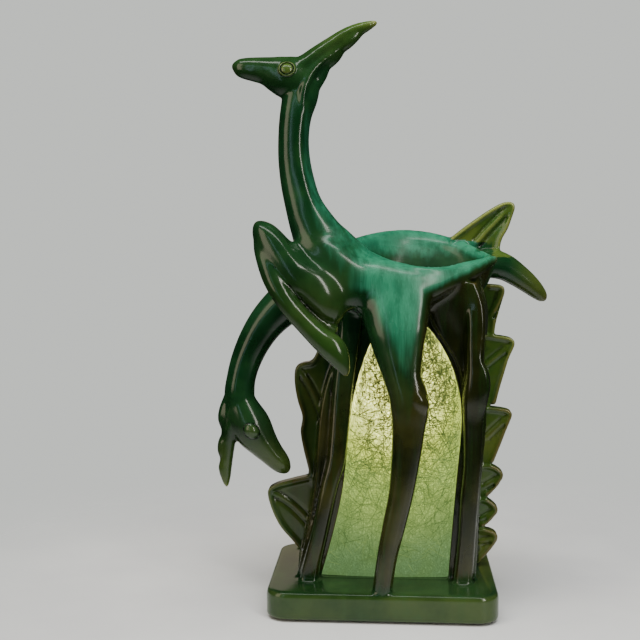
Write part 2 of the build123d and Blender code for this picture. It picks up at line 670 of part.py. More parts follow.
with BuildPart() as switch_knob:
    with BuildSketch(Plane((LAMP_X, LAMP_Y + BUSHING_END + 0.3, SWITCH_Z), z_dir=(0, 1, 0))):
        Circle(KNOB_RADIUS)
        with PolarLocations(KNOB_RADIUS + 0.3, KNOB_GROOVES):
            Circle(0.8, mode=Mode.SUBTRACT)
    extrude(amount=KNOB_LONG)
    cut(switch_shaft)
save(switch_knob, "switch_knob")

# Grommet in the plinth's back wall, where the cord comes out.
with BuildPart() as cord_grommet:
    for start_y, length, radius in (
        (BACK_Y - PLINTH_WALL - 1.4, 1.4, GROMMET_FLANGE),
        (BACK_Y - PLINTH_WALL, PLINTH_WALL, CORD_HOLE_RADIUS),
        (BACK_Y, 1.4, GROMMET_FLANGE),
    ):
        with BuildSketch(Plane((LAMP_X, start_y, CORD_HOLE_Z), z_dir=(0, 1, 0))):
            Circle(radius)
            Circle(GROMMET_BORE, mode=Mode.SUBTRACT)
        extrude(amount=length)
save(cord_grommet, "cord_grommet")

# ================================ the bulb ==============================================================

# Cap: a thin brass shell whose thread is drawn as rings at its pitch.
thread = []
for turn in range(THREAD_TURNS):
    low = THREAD_LOW_Z + turn * THREAD_PITCH
    thread += [(12.3, low), (13.0, low + 1.0), (13.0, low + 1.8), (12.3, low + 2.8)]
with BuildPart() as bulb_cap:
    lower_end = [(11.8, 79.0), (10.6, 78.6), (10.6, 78.0), (12.3, 78.4)]
    collar = [(12.3, 98.0), (13.0, 99.0), (13.0, 101.0), (11.8, 101.0)]
    turned(lower_end + thread + collar)
save(bulb_cap, "bulb_cap")

with BuildPart() as bulb_insulator:
    turned([(0, 76.0), (5.2, 76.0), (10.4, 78.0), (10.4, 79.5), (0, 79.5)])
save(bulb_insulator, "bulb_insulator")

with BuildPart() as bulb_contact:
    turned([(0, BULB_LOW_Z), (3.4, BULB_LOW_Z), (4.8, 75.2), (4.8, 75.8), (0, 75.8)])
save(bulb_contact, "bulb_contact")

# Glass: a round envelope on a neck that is cemented into the cap.
with BuildPart() as bulb_glass:
    with BuildSketch(upright(LAMP_Y)):
        with BuildLine():
            Line((LAMP_X + 11.0, 92.0), (LAMP_X + 11.8, 92.0))
            Line((LAMP_X + 11.8, 92.0), (LAMP_X + 11.8, 103.0))
            Spline(
                (LAMP_X + 11.8, 103.0),
                (LAMP_X + 15.0, 114.0),
                (LAMP_X + BULB_RADIUS, BULB_CENTRE_Z),
                tangents=((0, 1), (0, 1)),
            )
            RadiusArc(
                (LAMP_X + BULB_RADIUS, BULB_CENTRE_Z),
                (LAMP_X, BULB_CENTRE_Z + BULB_RADIUS),
                -BULB_RADIUS,
            )
            Line((LAMP_X, BULB_CENTRE_Z + BULB_RADIUS), (LAMP_X, BULB_CENTRE_Z + BULB_RADIUS - GLASS_WALL))
            RadiusArc(
                (LAMP_X, BULB_CENTRE_Z + BULB_RADIUS - GLASS_WALL),
                (LAMP_X + BULB_RADIUS - GLASS_WALL, BULB_CENTRE_Z),
                BULB_RADIUS - GLASS_WALL,
            )
            Spline(
                (LAMP_X + BULB_RADIUS - GLASS_WALL, BULB_CENTRE_Z),
                (LAMP_X + 14.2, 114.3),
                (LAMP_X + 11.0, 103.0),
                tangents=((0, -1), (0, -1)),
            )
            Line((LAMP_X + 11.0, 103.0), (LAMP_X + 11.0, 92.0))
        make_face()
    revolve(axis=LAMP_AXIS)
save(bulb_glass, "bulb_glass")

# Stem: the flared glass mount that is sealed to the neck's end and carries the leads.
with BuildPart() as bulb_stem:
    turned([(0, 92.0), (11.0, 92.0), (11.0, 93.0), (4.0, 96.0), (2.5, 108.0), (2.5, 118.0), (0, 118.0)])
save(bulb_stem, "bulb_stem")

# Leads: two wires out of the stem that spread to carry the filament.
with BuildPart() as bulb_leads:
    for side in (-1, 1):
        with BuildLine() as run:
            Polyline(
                (LAMP_X + side * 1.4, LAMP_Y, 118),
                (LAMP_X + side * 1.4, LAMP_Y, 122),
                (LAMP_X + side * 9, LAMP_Y, 140),
            )
        with BuildSketch(Plane((LAMP_X + side * 1.4, LAMP_Y, 118))):
            Circle(0.35)
        sweep(path=run.line, transition=Transition.ROUND)
save(bulb_leads, "bulb_leads")

with BuildPart() as bulb_filament:
    with BuildSketch(Plane((LAMP_X - 8.6, LAMP_Y, 140.2), z_dir=(1, 0, 0))):
        Circle(0.5)
    extrude(amount=17.2)
    cut(bulb_leads)
save(bulb_filament, "bulb_filament")
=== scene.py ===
"""Looks for the two-gazelle television lamp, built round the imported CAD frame.

The pottery is sculpted here as one glazed body: limbs, leaves, planter, arch and plinth are swept or lofted
as closed meshes, fused by a voxel remesh, carved where the real piece is hollow, and eased so that they run
into each other like slip-cast clay. Sculpting is in millimetres in the lamp's own frame, and the result is
scaled to metres.
"""

import math
import random

import bmesh
import bpy
import numpy as np
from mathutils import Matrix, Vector


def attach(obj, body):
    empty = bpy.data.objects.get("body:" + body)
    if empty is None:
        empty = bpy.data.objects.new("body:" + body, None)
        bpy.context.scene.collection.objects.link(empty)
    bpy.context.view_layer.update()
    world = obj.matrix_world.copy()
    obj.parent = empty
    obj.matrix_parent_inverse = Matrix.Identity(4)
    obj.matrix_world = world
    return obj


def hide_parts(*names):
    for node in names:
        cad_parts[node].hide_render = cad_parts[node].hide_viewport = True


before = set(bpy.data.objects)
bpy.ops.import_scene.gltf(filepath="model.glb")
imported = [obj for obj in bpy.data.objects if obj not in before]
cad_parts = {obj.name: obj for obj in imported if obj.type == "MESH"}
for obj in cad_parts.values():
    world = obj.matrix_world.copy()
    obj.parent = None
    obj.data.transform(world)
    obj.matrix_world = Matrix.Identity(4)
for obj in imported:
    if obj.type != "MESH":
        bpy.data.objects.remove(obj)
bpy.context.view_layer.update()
MM = 0.001
SEED = 11

# ---- shared sizes, in millimetres ---------------------------------------------------------------------
FLOOR_Z = 19.5  # the plinth's top face
FELT = 1.5
PLINTH_LONG, PLINTH_DEEP, PLINTH_CORNER, PLINTH_WALL = 150.0, 114.0, 14.0, 6.0
LAMP_X, LAMP_Y = 12.0, 16.0
LENS_X, LENS_Y, LENS_HALF, LENS_REACH = 24.0, -7.0, 50.0, 36.0
RIM_Z, RIM_RISE, RIM_DROP = 238.5, 0.333, 0.11
WELL_INSET = 5.0  # the planter's wall below its rim
ARCH_FRONT_Y, ARCH_BACK_Y = -23.0, 42.0
SCREEN_EDGE_Y, SCREEN_BOW, SCREEN_THICK = -16.0, 4.0, 0.8
# The screen's glow is painted: emitted colour, brightest at this middle and fading over this reach.
GLOW_X, GLOW_Z = 7.0, 152.0  # the brightest part of the screen
GLOW_WIDE, GLOW_TALL = 60.0, 74.0  # how far its glow reaches across and up
HEAD_HALF = 14  # more than either head is thick, to each side of its middle


# ================================ mesh helpers ==========================================================


def mesh_object(name, verts, faces, scale=MM):
    """A new object from plain lists, its points given in millimetres."""
    mesh = bpy.data.meshes.new(name)
    mesh.from_pydata([tuple(scale * c for c in v) for v in verts], [], faces)
    mesh.validate()
    mesh.update()
    obj = bpy.data.objects.new(name, mesh)
    bpy.context.scene.collection.objects.link(obj)
    return obj


def paint(obj, name, columns):
    """Stores up to four numbers at every point, for a material to read as a colour."""
    data = np.ones((len(obj.data.vertices), 4))
    data[:, : len(columns)] = np.column_stack(columns)
    layer = obj.data.color_attributes.new(name, "FLOAT_COLOR", "POINT")
    layer.data.foreach_set("color", data.ravel())


def smooth_shade(obj):
    for polygon in obj.data.polygons:
        polygon.use_smooth = True


def catmull(points, steps, closed=False):
    """A smooth run through rows of numbers, with the given number of samples on each span."""
    p = np.array(points, float)
    if closed:
        p = np.concatenate([p[-1:], p, p[:2]])
    else:
        p = np.concatenate([[2 * p[0] - p[1]], p, [2 * p[-1] - p[-2]]])
    rows = []
    for i in range(1, len(p) - 2):
        for t in np.linspace(0, 1, steps, endpoint=False):
            a, b, c, d = p[i - 1 : i + 3]
            row = 2 * b + (c - a) * t
            row += (2 * a - 5 * b + 4 * c - d) * t * t
            row += (3 * b - a - 3 * c + d) * t**3
            rows.append(0.5 * row)
    if not closed:
        rows.append(p[-2])
    return np.array(rows)


def spline(points, count):
    """A natural cubic curve through points, sampled evenly along its chords."""
    p = np.array(points, float)
    at = np.concatenate([[0], np.cumsum(np.linalg.norm(np.diff(p, axis=0), axis=1))])
    gap = np.diff(at)
    size = len(p)
    left, right = np.zeros((size, size)), np.zeros((size, p.shape[1]))
    left[0, 0] = left[-1, -1] = 1
    for i in range(1, size - 1):
        left[i, i - 1 : i + 2] = gap[i - 1], 2 * (gap[i - 1] + gap[i]), gap[i]
        right[i] = 6 * ((p[i + 1] - p[i]) / gap[i] - (p[i] - p[i - 1]) / gap[i - 1])
    bend = np.linalg.solve(left, right)
    rows = []
    for s in np.linspace(0, at[-1], count):
        i = min(int(np.searchsorted(at, s, side="right")) - 1, size - 2)
        a, b = (at[i + 1] - s) / gap[i], (s - at[i]) / gap[i]
        rows.append(
            a * p[i] + b * p[i + 1] + ((a**3 - a) * bend[i] + (b**3 - b) * bend[i + 1]) * gap[i] ** 2 / 6
        )
    return np.array(rows)


class Clay:
    """Closed forms in millimetres, gathered to be fused into one body."""

    def __init__(self):
        self.verts, self.faces = [], []

    def add(self, verts, faces):
        """Takes in one closed form, turned right side out."""
        base = len(self.verts)
        points = np.array([tuple(float(c) for c in v) for v in verts])
        points -= points.mean(axis=0)
        volume = 0.0
        for face in faces:
            for i in range(1, len(face) - 1):
                volume += np.dot(points[face[0]], np.cross(points[face[i]], points[face[i + 1]]))
        if volume < 0:
            faces = [face[::-1] for face in faces]
        self.verts += [tuple(float(c) for c in v) for v in verts]
        self.faces += [tuple(base + i for i in face) for face in faces]

    def rings(self, rings):
        """A closed tube through rings of equal length."""
        count, ring = len(rings), len(rings[0])
        verts = [v for r in rings for v in r]
        faces = [
            (i * ring + j, i * ring + (j + 1) % ring, (i + 1) * ring + (j + 1) % ring, (i + 1) * ring + j)
            for i in range(count - 1)
            for j in range(ring)
        ]
        for index, flip in ((0, True), (count - 1, False)):
            centre = len(verts)
            verts.append(np.mean(rings[index], axis=0))
            for j in range(ring):
                a, b = index * ring + j, index * ring + (j + 1) % ring
                faces.append((b, a, centre) if flip else (a, b, centre))
        self.add(verts, faces)

    def limb(self, stations, ridges=(), ring=56, steps=8, power=2.0):
        """A limb along X, Y, Z stations with in-plane half width and half depth.

        Each ridge is (angle, height, width, first, last): a crest at that angle round the section, 0 toward
        the left of the way ahead, 90 to the back and 270 to the front, as a share of the radius, between two
        places along the limb from 0 to 1.
        """
        rows = catmull(stations, steps)
        spine, sizes = rows[:, :3], np.maximum(rows[:, 3:5], 0.3)
        ahead = np.gradient(spine, axis=0)
        ahead /= np.linalg.norm(ahead, axis=1)[:, None]
        side = np.cross(ahead, (0, 1, 0))
        side /= np.linalg.norm(side, axis=1)[:, None]
        depth = np.cross(side, ahead)
        angle = np.linspace(0, 2 * math.pi, ring, endpoint=False)
        cosine, sine = np.cos(angle), np.sin(angle)
        wide = np.sign(cosine) * np.abs(cosine) ** (2 / power)
        deep = np.sign(sine) * np.abs(sine) ** (2 / power)
        rings = []
        for i in range(len(rows)):
            swell = np.ones(ring)
            along = i / (len(rows) - 1)
            for at, height, width, first, last in ridges:
                away = (np.degrees(angle) - at + 180) % 360 - 180
                fade = np.clip((along - first) / 0.12, 0, 1) * np.clip((last - along) / 0.12, 0, 1)
                swell += height * fade * np.exp(-((away / width) ** 2))
            rings.append(
                spine[i]
                + side[i] * (wide * swell * sizes[i, 0])[:, None]
                + depth[i] * (deep * swell * sizes[i, 1])[:, None]
            )
        self.rings(rings)

    def rope(self, points, radius, ring=12, steps=6):
        """A round bead along points; radius is one number or one for each point."""
        radii = radius if isinstance(radius, (list, tuple)) else [radius] * len(points)
        self.limb([(*p, r, r) for p, r in zip(points, radii)], ring=ring, steps=steps)

    def plan(self, levels, steps=6):
        """A form through closed outlines in X and Y at rising heights."""
        rings = catmull([[(x, y, z) for x, y in outline] for z, outline in levels], steps)
        self.rings([catmull(ring, 4, closed=True) for ring in rings])

    def pillow(self, outline, centre, back_y, front_y, bulge=2.0, steps=14):
        """A plate in the picture plane whose front swells from its outline to its middle."""
        edge = catmull(outline, 6, closed=True)
        middle = np.array(centre)
        rings = []
        for k in range(steps + 1):
            turn = math.pi / 2 * k / steps
            share, lift = math.cos(turn) ** (2 / bulge), math.sin(turn) ** (2 / bulge)
            share = max(share, 0.02)
            y = back_y + (front_y - back_y) * lift
            rings.append([(x, y, z) for x, z in middle + (edge - middle) * share])
        behind = [(x, back_y + 5, z) for x, z in edge]
        self.rings([behind] + rings)

    def slab(self, outline, front_y, back_y):
        """A plate in the picture plane with a smooth outline in X and Z."""
        front = [(x, front_y, z) for x, z in outline]
        back = [(x, back_y, z) for x, z in outline]
        count = len(outline)
        faces = [tuple(range(count)), tuple(reversed(range(count, 2 * count)))]
        faces += [(i, count + i, count + (i + 1) % count, (i + 1) % count) for i in range(count)]
        self.add(front + back, faces)


# ================================ the clay forms ========================================================

STANDING_NECK = [
    (6, -27, 207, 15, 10), (-10, -28, 214, 19, 13.5), (-24, -28, 225, 19, 14),
    (-38.0, -29.5, 239, 18.4, 13), (-46, -29, 253, 14.8, 12), (-52, -28, 267, 12, 11),
    (-56, -26, 282, 11, 10.3), (-58.2, -25, 297, 10.3, 9.8), (-58.5, -24, 311, 10, 9.4),
    (-57.2, -23, 324, 10.4, 9.4), (-54.2, -22, 336, 11.4, 9.2), (-50.5, -22, 347, 10, 8),
]
STANDING_HEAD = [
    (-46, -22, 348, 8, 7), (-54, -22, 347.2, 13.2, 9.8), (-62.5, -22, 348.2, 13.6, 10.6),
    (-70, -22, 350.4, 11.6, 9.8), (-77, -22, 352.4, 9.0, 8.6), (-84, -22, 353.4, 7.8, 7.4),
    (-90.4, -22, 354.2, 6.8, 6.6), (-95, -22, 355.2, 5.2, 5.0), (-98.6, -22, 356.0, 1.4, 1.4),
]
STANDING_HORN = [
    (-60, -22, 349.5, 9, 8), (-50.5, -22, 354.6, 8.4, 7.4), (-42.5, -22, 361.2, 7.2, 6),
    (-34, -22, 367.4, 6.3, 5), (-25.5, -22, 373.4, 5.4, 4.2), (-18, -22, 377.4, 4.5, 3.5),
    (-11.5, -22, 380, 3.3, 2.8), (-6.6, -22, 381.9, 1.9, 1.9), (-4.8, -22, 382.3, 0.8, 0.8),
]
# The mane under the horn: each lobe is a run of X, Z and half width in the picture plane.
MANE_LOBES = [
    [(-53, 333, 4), (-48.5, 343, 7.2), (-43, 352.5, 7.4), (-37.5, 359, 4.5), (-33, 363, 2)],
    [(-42, 352, 3), (-37, 358.6, 5.6), (-32.2, 363.4, 5.6), (-27.4, 367.4, 3.4), (-24, 370, 1.5)],
    [(-31, 364, 3), (-25.6, 369.4, 4.6), (-20.2, 373.6, 4.2), (-15.6, 376.6, 2.6), (-12, 378.6, 1.2)],
]
FOLDED_LOWER_LEG = [
    (-79.4, -41, 250, 3.2, 4.4), (-76.6, -43, 238.5, 6.0, 6.0), (-70.4, -48.0, 223.0, 7.2, 6.6),
    (-64.4, -51.4, 211.5, 6.9, 6.2), (-56.8, -52, 200.8, 6.8, 6), (-48.2, -52, 191.4, 6.8, 6),
    (-39.4, -52, 182.6, 7.4, 6.2), (-31.6, -52, 176.2, 8.4, 6.6), (-27, -52, 169, 6.6, 5.6),
    (-24.2, -52, 162.5, 3.8, 3.6), (-23.2, -52, 158.4, 1.2, 1.4),
]
SHOULDER_OUTLINE = [
    (-78.4, 256.4), (-71.4, 254.2), (-64.6, 248.6), (-58.4, 242.6), (-50.0, 236.0), (-41.0, 230.5),
    (-32, 225.0), (-25.0, 216.5), (-22.2, 207), (-23.2, 198.5), (-27.0, 191.8), (-33.0, 190.0),
    (-43.6, 197.0), (-53.0, 204.6), (-63.4, 211.4), (-71.6, 220.4), (-77.6, 230.8), (-81.8, 240.6),
    (-83.6, 248.6), (-82.4, 254.6),
]
STANDING_HIND_LEG = [
    (-0.2, -50.4, 12, 6.4, 6), (0.3, -50.4, 21, 6.4, 6), (3.2, -50, 42, 6.6, 6.2),
    (7.4, -49.5, 62, 7.4, 6.6), (12.0, -49, 84, 8.0, 7.4), (15.0, -48, 108, 9.4, 8.6),
    (16.4, -47.5, 126, 10.7, 9.6), (17.0, -47.5, 138, 12.4, 10.6), (15.6, -47, 147, 12.3, 11),
    (12.4, -45.6, 157, 12.2, 11.4), (10, -43, 174, 16.2, 12.8), (8.6, -41, 187, 19.4, 14.2),
    (7.5, -37, 201, 23, 15), (7, -33, 213, 24, 15), (8, -26, 222, 17, 12),
]
TORSO = [
    (-30, -31, 229, 13, 11), (-16, -34, 220.5, 15.5, 12), (0, -36, 214.6, 17.2, 13),
    (16, -35.5, 213.8, 15.2, 12.5), (30, -33, 216.5, 12, 11), (42, -29.5, 219.6, 9, 9),
    (54, -25, 223.6, 6.6, 7), (64, -20.5, 227.6, 4.6, 5), (71, -17, 231, 2.8, 3.2),
    (73.5, -16, 232.4, 1, 1),
]
GRAZING_FORELEG = [
    (-49.2, -28, 12, 6.2, 6), (-48.4, -28, 21, 6.2, 6), (-45.8, -28, 34, 5.6, 6), (-41.6, -28, 51, 5.2, 6),
    (-38.0, -28, 68, 5.2, 6), (-34.6, -27.5, 84, 5.4, 6), (-30.8, -27, 98, 5.7, 5.6),
    (-29.2, -26, 112, 5.9, 5.4), (-27.7, -25, 130, 6.2, 5.4), (-26.2, -24.5, 148, 6.4, 5.6),
    (-24.0, -24, 166, 6.8, 6), (-21.5, -23, 188, 7.5, 7), (-21, -24, 205, 8.5, 7.5), (-23, -26, 218, 6, 6),
]
GRAZING_HIND_LEG = [
    (52.6, -28, 12, 6.2, 6), (53, -28, 21, 6.2, 6), (55, -28, 49, 5.7, 6), (56.5, -28, 76, 5.9, 6),
    (58, -28, 96, 5.6, 6), (58.4, -28, 115, 6.0, 6.3), (58.6, -28.5, 130, 6.8, 7),
    (59.4, -29.5, 142, 8.2, 8.2), (60.6, -30, 151, 8.4, 8.4), (60.2, -30, 159, 7.4, 8),
    (58.8, -29.5, 166, 5.4, 7.6), (58.2, -28, 178, 5.0, 8), (58.2, -26, 192, 5.4, 9),
    (57.4, -22, 206, 7, 10), (54, -16, 219, 9, 9),
]
# The grazing animal's thigh: height, the X of its edge at the screen, and the X of its outer ridge.
THIGH = [
    (128, 52.5, 61), (140, 52, 61.5), (155, 50, 62), (165, 46.8, 61.6), (174, 41.6, 61.8),
    (182, 36.2, 62.2), (190, 31.5, 62.4), (200, 28, 62), (209, 27, 60), (217, 28, 57),
]
GRAZING_TAIL = [
    (44, 4, 221, 5, 6), (58, 8, 225.4, 7.6, 8), (70, 12, 227.6, 9.8, 9), (80.5, 15, 225.4, 9.2, 8),
    (90, 17, 219.8, 8.0, 7), (98.5, 18.5, 213.4, 6.8, 6.2), (104.5, 19.5, 208, 5.4, 5.2),
    (108.3, 20, 204, 3.6, 3.4), (110, 20, 202, 1, 1),
]
GRAZING_NECK = [
    (-14, 12, 224, 18, 13), (-29, 8, 220, 18.5, 14), (-43, 4, 214, 17.5, 13.6), (-56.5, 0, 207, 16, 13),
    (-69, -2, 198.3, 13.8, 12), (-79.3, -4, 187.5, 12.2, 11), (-87, -6, 175.3, 11, 10.2),
    (-92.6, -7, 162.5, 10.2, 9.4), (-95.8, -8, 150.5, 9.8, 8.8), (-97, -8, 139.5, 10.2, 8.8),
    (-96.2, -8, 129, 9, 8),
]
GRAZING_HEAD = [
    (-97, -8, 142, 8, 7.2), (-95, -8, 132, 10.8, 9.2), (-91, -8, 121.6, 13.4, 10.4),
    (-86.4, -8, 113.6, 13.0, 10.2), (-80.6, -8, 105.8, 10.4, 9.2), (-75, -8, 99.2, 8.4, 8.0),
    (-70.6, -8, 94.4, 7.4, 7.0), (-67.4, -8, 90.8, 6.0, 5.8), (-64.8, -8, 87.9, 3.4, 3.4),
    (-63.8, -8, 86.8, 1, 1),
]
GRAZING_HORN = [
    (-99, -8, 131, 8, 7.6), (-102.6, -8, 120, 6.6, 6), (-104.6, -8, 109, 5.2, 4.8),
    (-105.8, -8, 99, 4.6, 4.2), (-106.6, -8, 90, 4.2, 3.8), (-106.6, -8, 82, 3.2, 3.0),
    (-106.2, -8, 77.4, 1.6, 1.6), (-106.1, -8, 75.6, 0.6, 0.6),
]
GRAZING_MANE = [
    [
        (-104.6, 141, 2), (-105.4, 135, 3.6), (-106.4, 128.6, 4.8), (-106.8, 122.6, 5.0),
        (-106.2, 116.6, 3.4), (-105, 112, 1.5),
    ],
    [(-105.4, 114, 2), (-106.8, 109, 4.2), (-107.6, 103, 4.8), (-107.2, 98, 4.0), (-106.4, 94, 2)],
    [(-106.4, 96, 2), (-107.6, 91.6, 3.8), (-107.8, 86, 3.4), (-107.2, 81, 2)],
]
INNER_FRONT = [(-40.5, 19.5), (-25.2, 84), (-14.6, 158), (11, 197), (42.2, 166), (49.0, 98), (43, 19.5)]
INNER_BACK = [(-52, 19.5), (-44, 84), (-31, 158), (12, 197), (53, 168), (60, 98), (56, 19.5)]
OUTER_FRONT = [(-56, 19.5), (-43.4, 84), (-33, 158), (12, 206), (57, 172), (64, 98), (60.5, 19.5)]
OUTER_BACK = [(-60, 19.5), (-52, 84), (-39, 158), (12, 206), (63, 172), (70, 98), (65, 19.5)]
LEFT_LEAVES = [
    (
        [
            (-37, 190), (-43, 174), (-48.5, 162), (-55, 160), (-60, 156.5), (-60.6, 146), (-58.6, 134),
            (-55.4, 123), (-56.6, 113), (-55, 102), (-51.4, 87), (-49.6, 78), (-45, 70),
        ],
        [(-38, 76), (-26, 150)],
        [(-57.6, 155.6), (-51.5, 146), (-46.5, 136), (-42.0, 124), (-38, 112)],
    ),
    (
        [
            (-42, 86), (-51.5, 81.8), (-62, 79), (-74, 75.4), (-79.4, 70.6), (-77, 59), (-71, 46.5),
            (-63, 37), (-57, 30),
        ],
        [(-46, 26), (-40, 76)],
        [(-77.4, 70.0), (-68, 65.5), (-59, 58.5), (-50.5, 49.5), (-46, 43)],
    ),
]
RIGHT_LEAVES = [
    (
        [(70, 214), (79, 213), (81, 209.5), (79.6, 203), (77.2, 194.5), (75.2, 187), (74.2, 178)],
        [(79, 208.5), (75.4, 200), (71, 190)],
    ),
    (
        [
            (66, 181), (76, 179.4), (85.5, 177.6), (88.2, 173.4), (84.4, 164), (81.2, 153), (78.4, 143),
            (75.8, 132),
        ],
        [(86.4, 173.4), (78, 166.5), (68, 158)],
    ),
    (
        [(66, 131), (77, 130), (85, 128.4), (87, 124.6), (83.4, 115), (79.4, 104), (74.8, 92)],
        [(85.4, 124.6), (77.5, 117), (69.5, 109)],
    ),
    (
        [(66, 91), (74, 90.4), (80.4, 86.6), (81.6, 82.4), (77.6, 75.6), (71, 68.4)],
        [(80.0, 82.8), (74, 78.5), (68.5, 75)],
    ),
    (
        [(64, 67.6), (71, 67), (77.4, 62.2), (78.2, 58), (74, 52.4), (68, 47)],
        [(76.6, 58.8), (71.5, 55.5), (66.5, 52.5)],
    ),
    (
        [(62, 47), (69, 46.4), (76.4, 44), (78.6, 39.6), (74, 32), (65, 21.4)],
        [(76.8, 40.2), (71.5, 38.2), (66.4, 37)],
    ),
]
CROWN_LEAF = [
    (44, 244), (52, 250.4), (61, 257), (71, 263.8), (80, 268.6), (86, 268.8), (88, 265.6), (86.2, 259),
    (83.4, 251), (79.4, 243.5), (77.6, 234),
]
CROWN_RIB = [(84.6, 265.4), (77, 257.5), (69, 249), (62, 240.5)]
# Clay run into the crease between the folded leg's two parts.
CREASE_FILL = [
    (-72, -44, 230), (-65, -46, 220), (-58, -46, 211), (-48, -46, 201), (-38, -46, 192), (-30, -44, 186),
]
# The shadowed wall behind the folded leg, between the arch and the chest.
BACK_WALL = [
    (-26, -6, 160, 8, 9), (-29, -8, 176, 10.5, 10), (-31, -9, 192, 11, 10), (-31, -10, 206, 10, 9),
    (-28, -11, 220, 8, 8),
]
# The point of the standing animal's hock.
HOCK = [
    (15, -53, 148.5, 3, 2.6), (19.5, -55, 146, 5.4, 3.8), (23.6, -54, 141.5, 5.4, 4.4),
    (25.2, -51, 135, 3, 3),
]
# The chest, from the neck down into the body, in two rolls.
UPPER_CHEST = [
    (-50, -28, 250, 6, 6), (-48, -34, 243, 9, 9), (-38, -36.5, 235, 13, 12), (-26, -37, 226, 14, 12.5),
    (-14, -38, 219, 12, 11.5),
]
LOWER_CHEST = [
    (-46, -30, 230, 7, 7), (-42, -34, 225, 9, 9), (-31, -36, 216, 12, 11.5), (-20, -37, 211, 12, 11.5),
    (-10, -35, 210, 9, 9), (-2, -33, 210, 6, 6),
]
# The ridge of the neck, carried up between the head and the mane.
NECK_RIDGE = [
    (-52.8, -30.4, 318), (-52.6, -30.6, 328), (-51.6, -30.6, 338), (-49.0, -29.8, 346), (-45.6, -28.4, 352),
    (-40.8, -27, 357), (-34.6, -26, 361.8), (-26, -24.8, 368.4),
]
NECK_RIDGE_RADII = [1.2, 2.2, 2.6, 2.7, 2.6, 2.4, 2.0, 1.2]
# The crease between the neck and the shoulder.
NECK_CREASE = [(-60.0, -44, 244.5), (-57.4, -47, 238.0), (-54.0, -49.5, 231.0), (-50.0, -53, 224)]
NECK_CREASE_RADII = [1.6, 1.9, 1.6, 0.6]
# The arch's solid and its tunnel: Y, and how far the profile is drawn in there.
ARCH_LEVELS = [(-23.0, 1.6), (-22.2, 0.5), (-20.0, 0), (10.0, 0), (39.5, 0), (41.4, 0.5), (42.0, 1.6)]
TUNNEL_LEVELS = [(-23.6, -0.9), (-22.4, -0.2), (-20.0, 0), (10.0, 0), (38.0, 0), (44.0, -0.4)]
# Eyes: X and Z of the middle, Y of the head's middle, how the long axis leans in radians, the half width, the
# depth of the groove round it, and the dome's share of the half width, its height and how square it is.
EYES = [
    (-62.0, 352.4, -22.0, 0.0, 4.6, 1.0, 0.86, 1.7, 0.5),
    (-87.6, 116.4, -8.0, -0.6, 5.6, 0.1, 1.0, 2.6, 0.9),
]


def rim_height(x, y):
    """The height of the planter's rim over a point of its plan."""
    return RIM_Z + RIM_RISE * (y - LENS_Y) - RIM_DROP * (x - LENS_X)


def lens_loop(share, inset, roll=0.0, count=96):
    """Points of the planter's plan, from the left end round by the front; roll insets the back further."""
    loop = []
    for k in range(count):
        turn = 2 * math.pi * k / count
        extra = roll * max(0.0, -math.sin(turn)) ** 0.7
        half, reach = LENS_HALF * share - 1.8 * inset, LENS_REACH * share - inset - extra
        x = -half * math.cos(turn)
        bulge = reach * (1 - (x / half) ** 2)
        loop.append((LENS_X + x, LENS_Y - math.copysign(bulge, math.sin(turn))))
    return loop


# The planter's inside, from the rim down: inset from the outer form, drop below the rim, and how much further
# in the far side has rolled by then.
RIM_PROFILE = [(2.2, 0.0, 0.0), (3.4, 0.5, 1.2), (4.4, 1.7, 2.8), (4.9, 3.6, 4.4), (5.0, 7.0, 6.0)]
WELL = [
    (0.95, 224.0, 13.0), (0.88, 216.0, 15.0), (0.76, 209.5, 13.0), (0.60, 205.5, 7.0), (0.40, 204.0, 0.0),
]


def well_rings():
    """The planter's inside, from the rim down to the floor."""
    rings = []
    for inset, drop, roll in RIM_PROFILE:
        rings.append([(x, y, rim_height(x, y) - drop) for x, y in lens_loop(1.0, inset, roll)])
    for share, z, roll in WELL:
        rings.append([(x, y, z) for x, y in lens_loop(share, WELL_INSET, roll)])
    return rings


def add_planter(clay):
    outer = [(0.30, 191.0), (0.50, 194.0), (0.66, 199.5), (0.80, 207.0), (0.90, 215.0), (0.96, 222.0)]
    rings = [[(x, y, z) for x, y in lens_loop(share, 0)] for share, z in outer]
    for inset, drop in ((0, 4.0), (0, 2.0), (0.7, 0.6)):
        rings.append([(x, y, rim_height(x, y) - drop) for x, y in lens_loop(1.0, inset)])
    clay.rings(rings + well_rings())


def arch_profile(front, back, y, count):
    share = (y - ARCH_FRONT_Y) / (ARCH_BACK_Y - ARCH_FRONT_Y)
    return spline(np.array(front, float) * (1 - share) + np.array(back, float) * share, count)


def add_arch(clay, front, back, low_z, levels):
    """A tunnel-shaped solid between two profiles; levels are Y and how far it is drawn in."""
    rings = []
    for y, inset in levels:
        profile = arch_profile(front, back, min(max(y, ARCH_FRONT_Y), ARCH_BACK_Y), 90)
        along = np.gradient(profile, axis=0)
        along /= np.linalg.norm(along, axis=1)[:, None]
        profile = profile + inset * np.column_stack([along[:, 1], -along[:, 0]])
        profile[0][1] = profile[-1][1] = low_z
        rings.append([(x, y, z) for x, z in profile])
    clay.rings(rings)


def rounded_loop(long, deep, corner, z, arc=8):
    loop = []
    for sx, sy, start in ((1, 1, 0), (-1, 1, 90), (-1, -1, 180), (1, -1, 270)):
        for k in range(arc + 1):
            turn = math.radians(start + 90 * k / arc)
            x = sx * (long / 2 - corner) + corner * math.cos(turn)
            y = sy * (deep / 2 - corner) + corner * math.sin(turn)
            loop.append((x, y, z))
    return loop


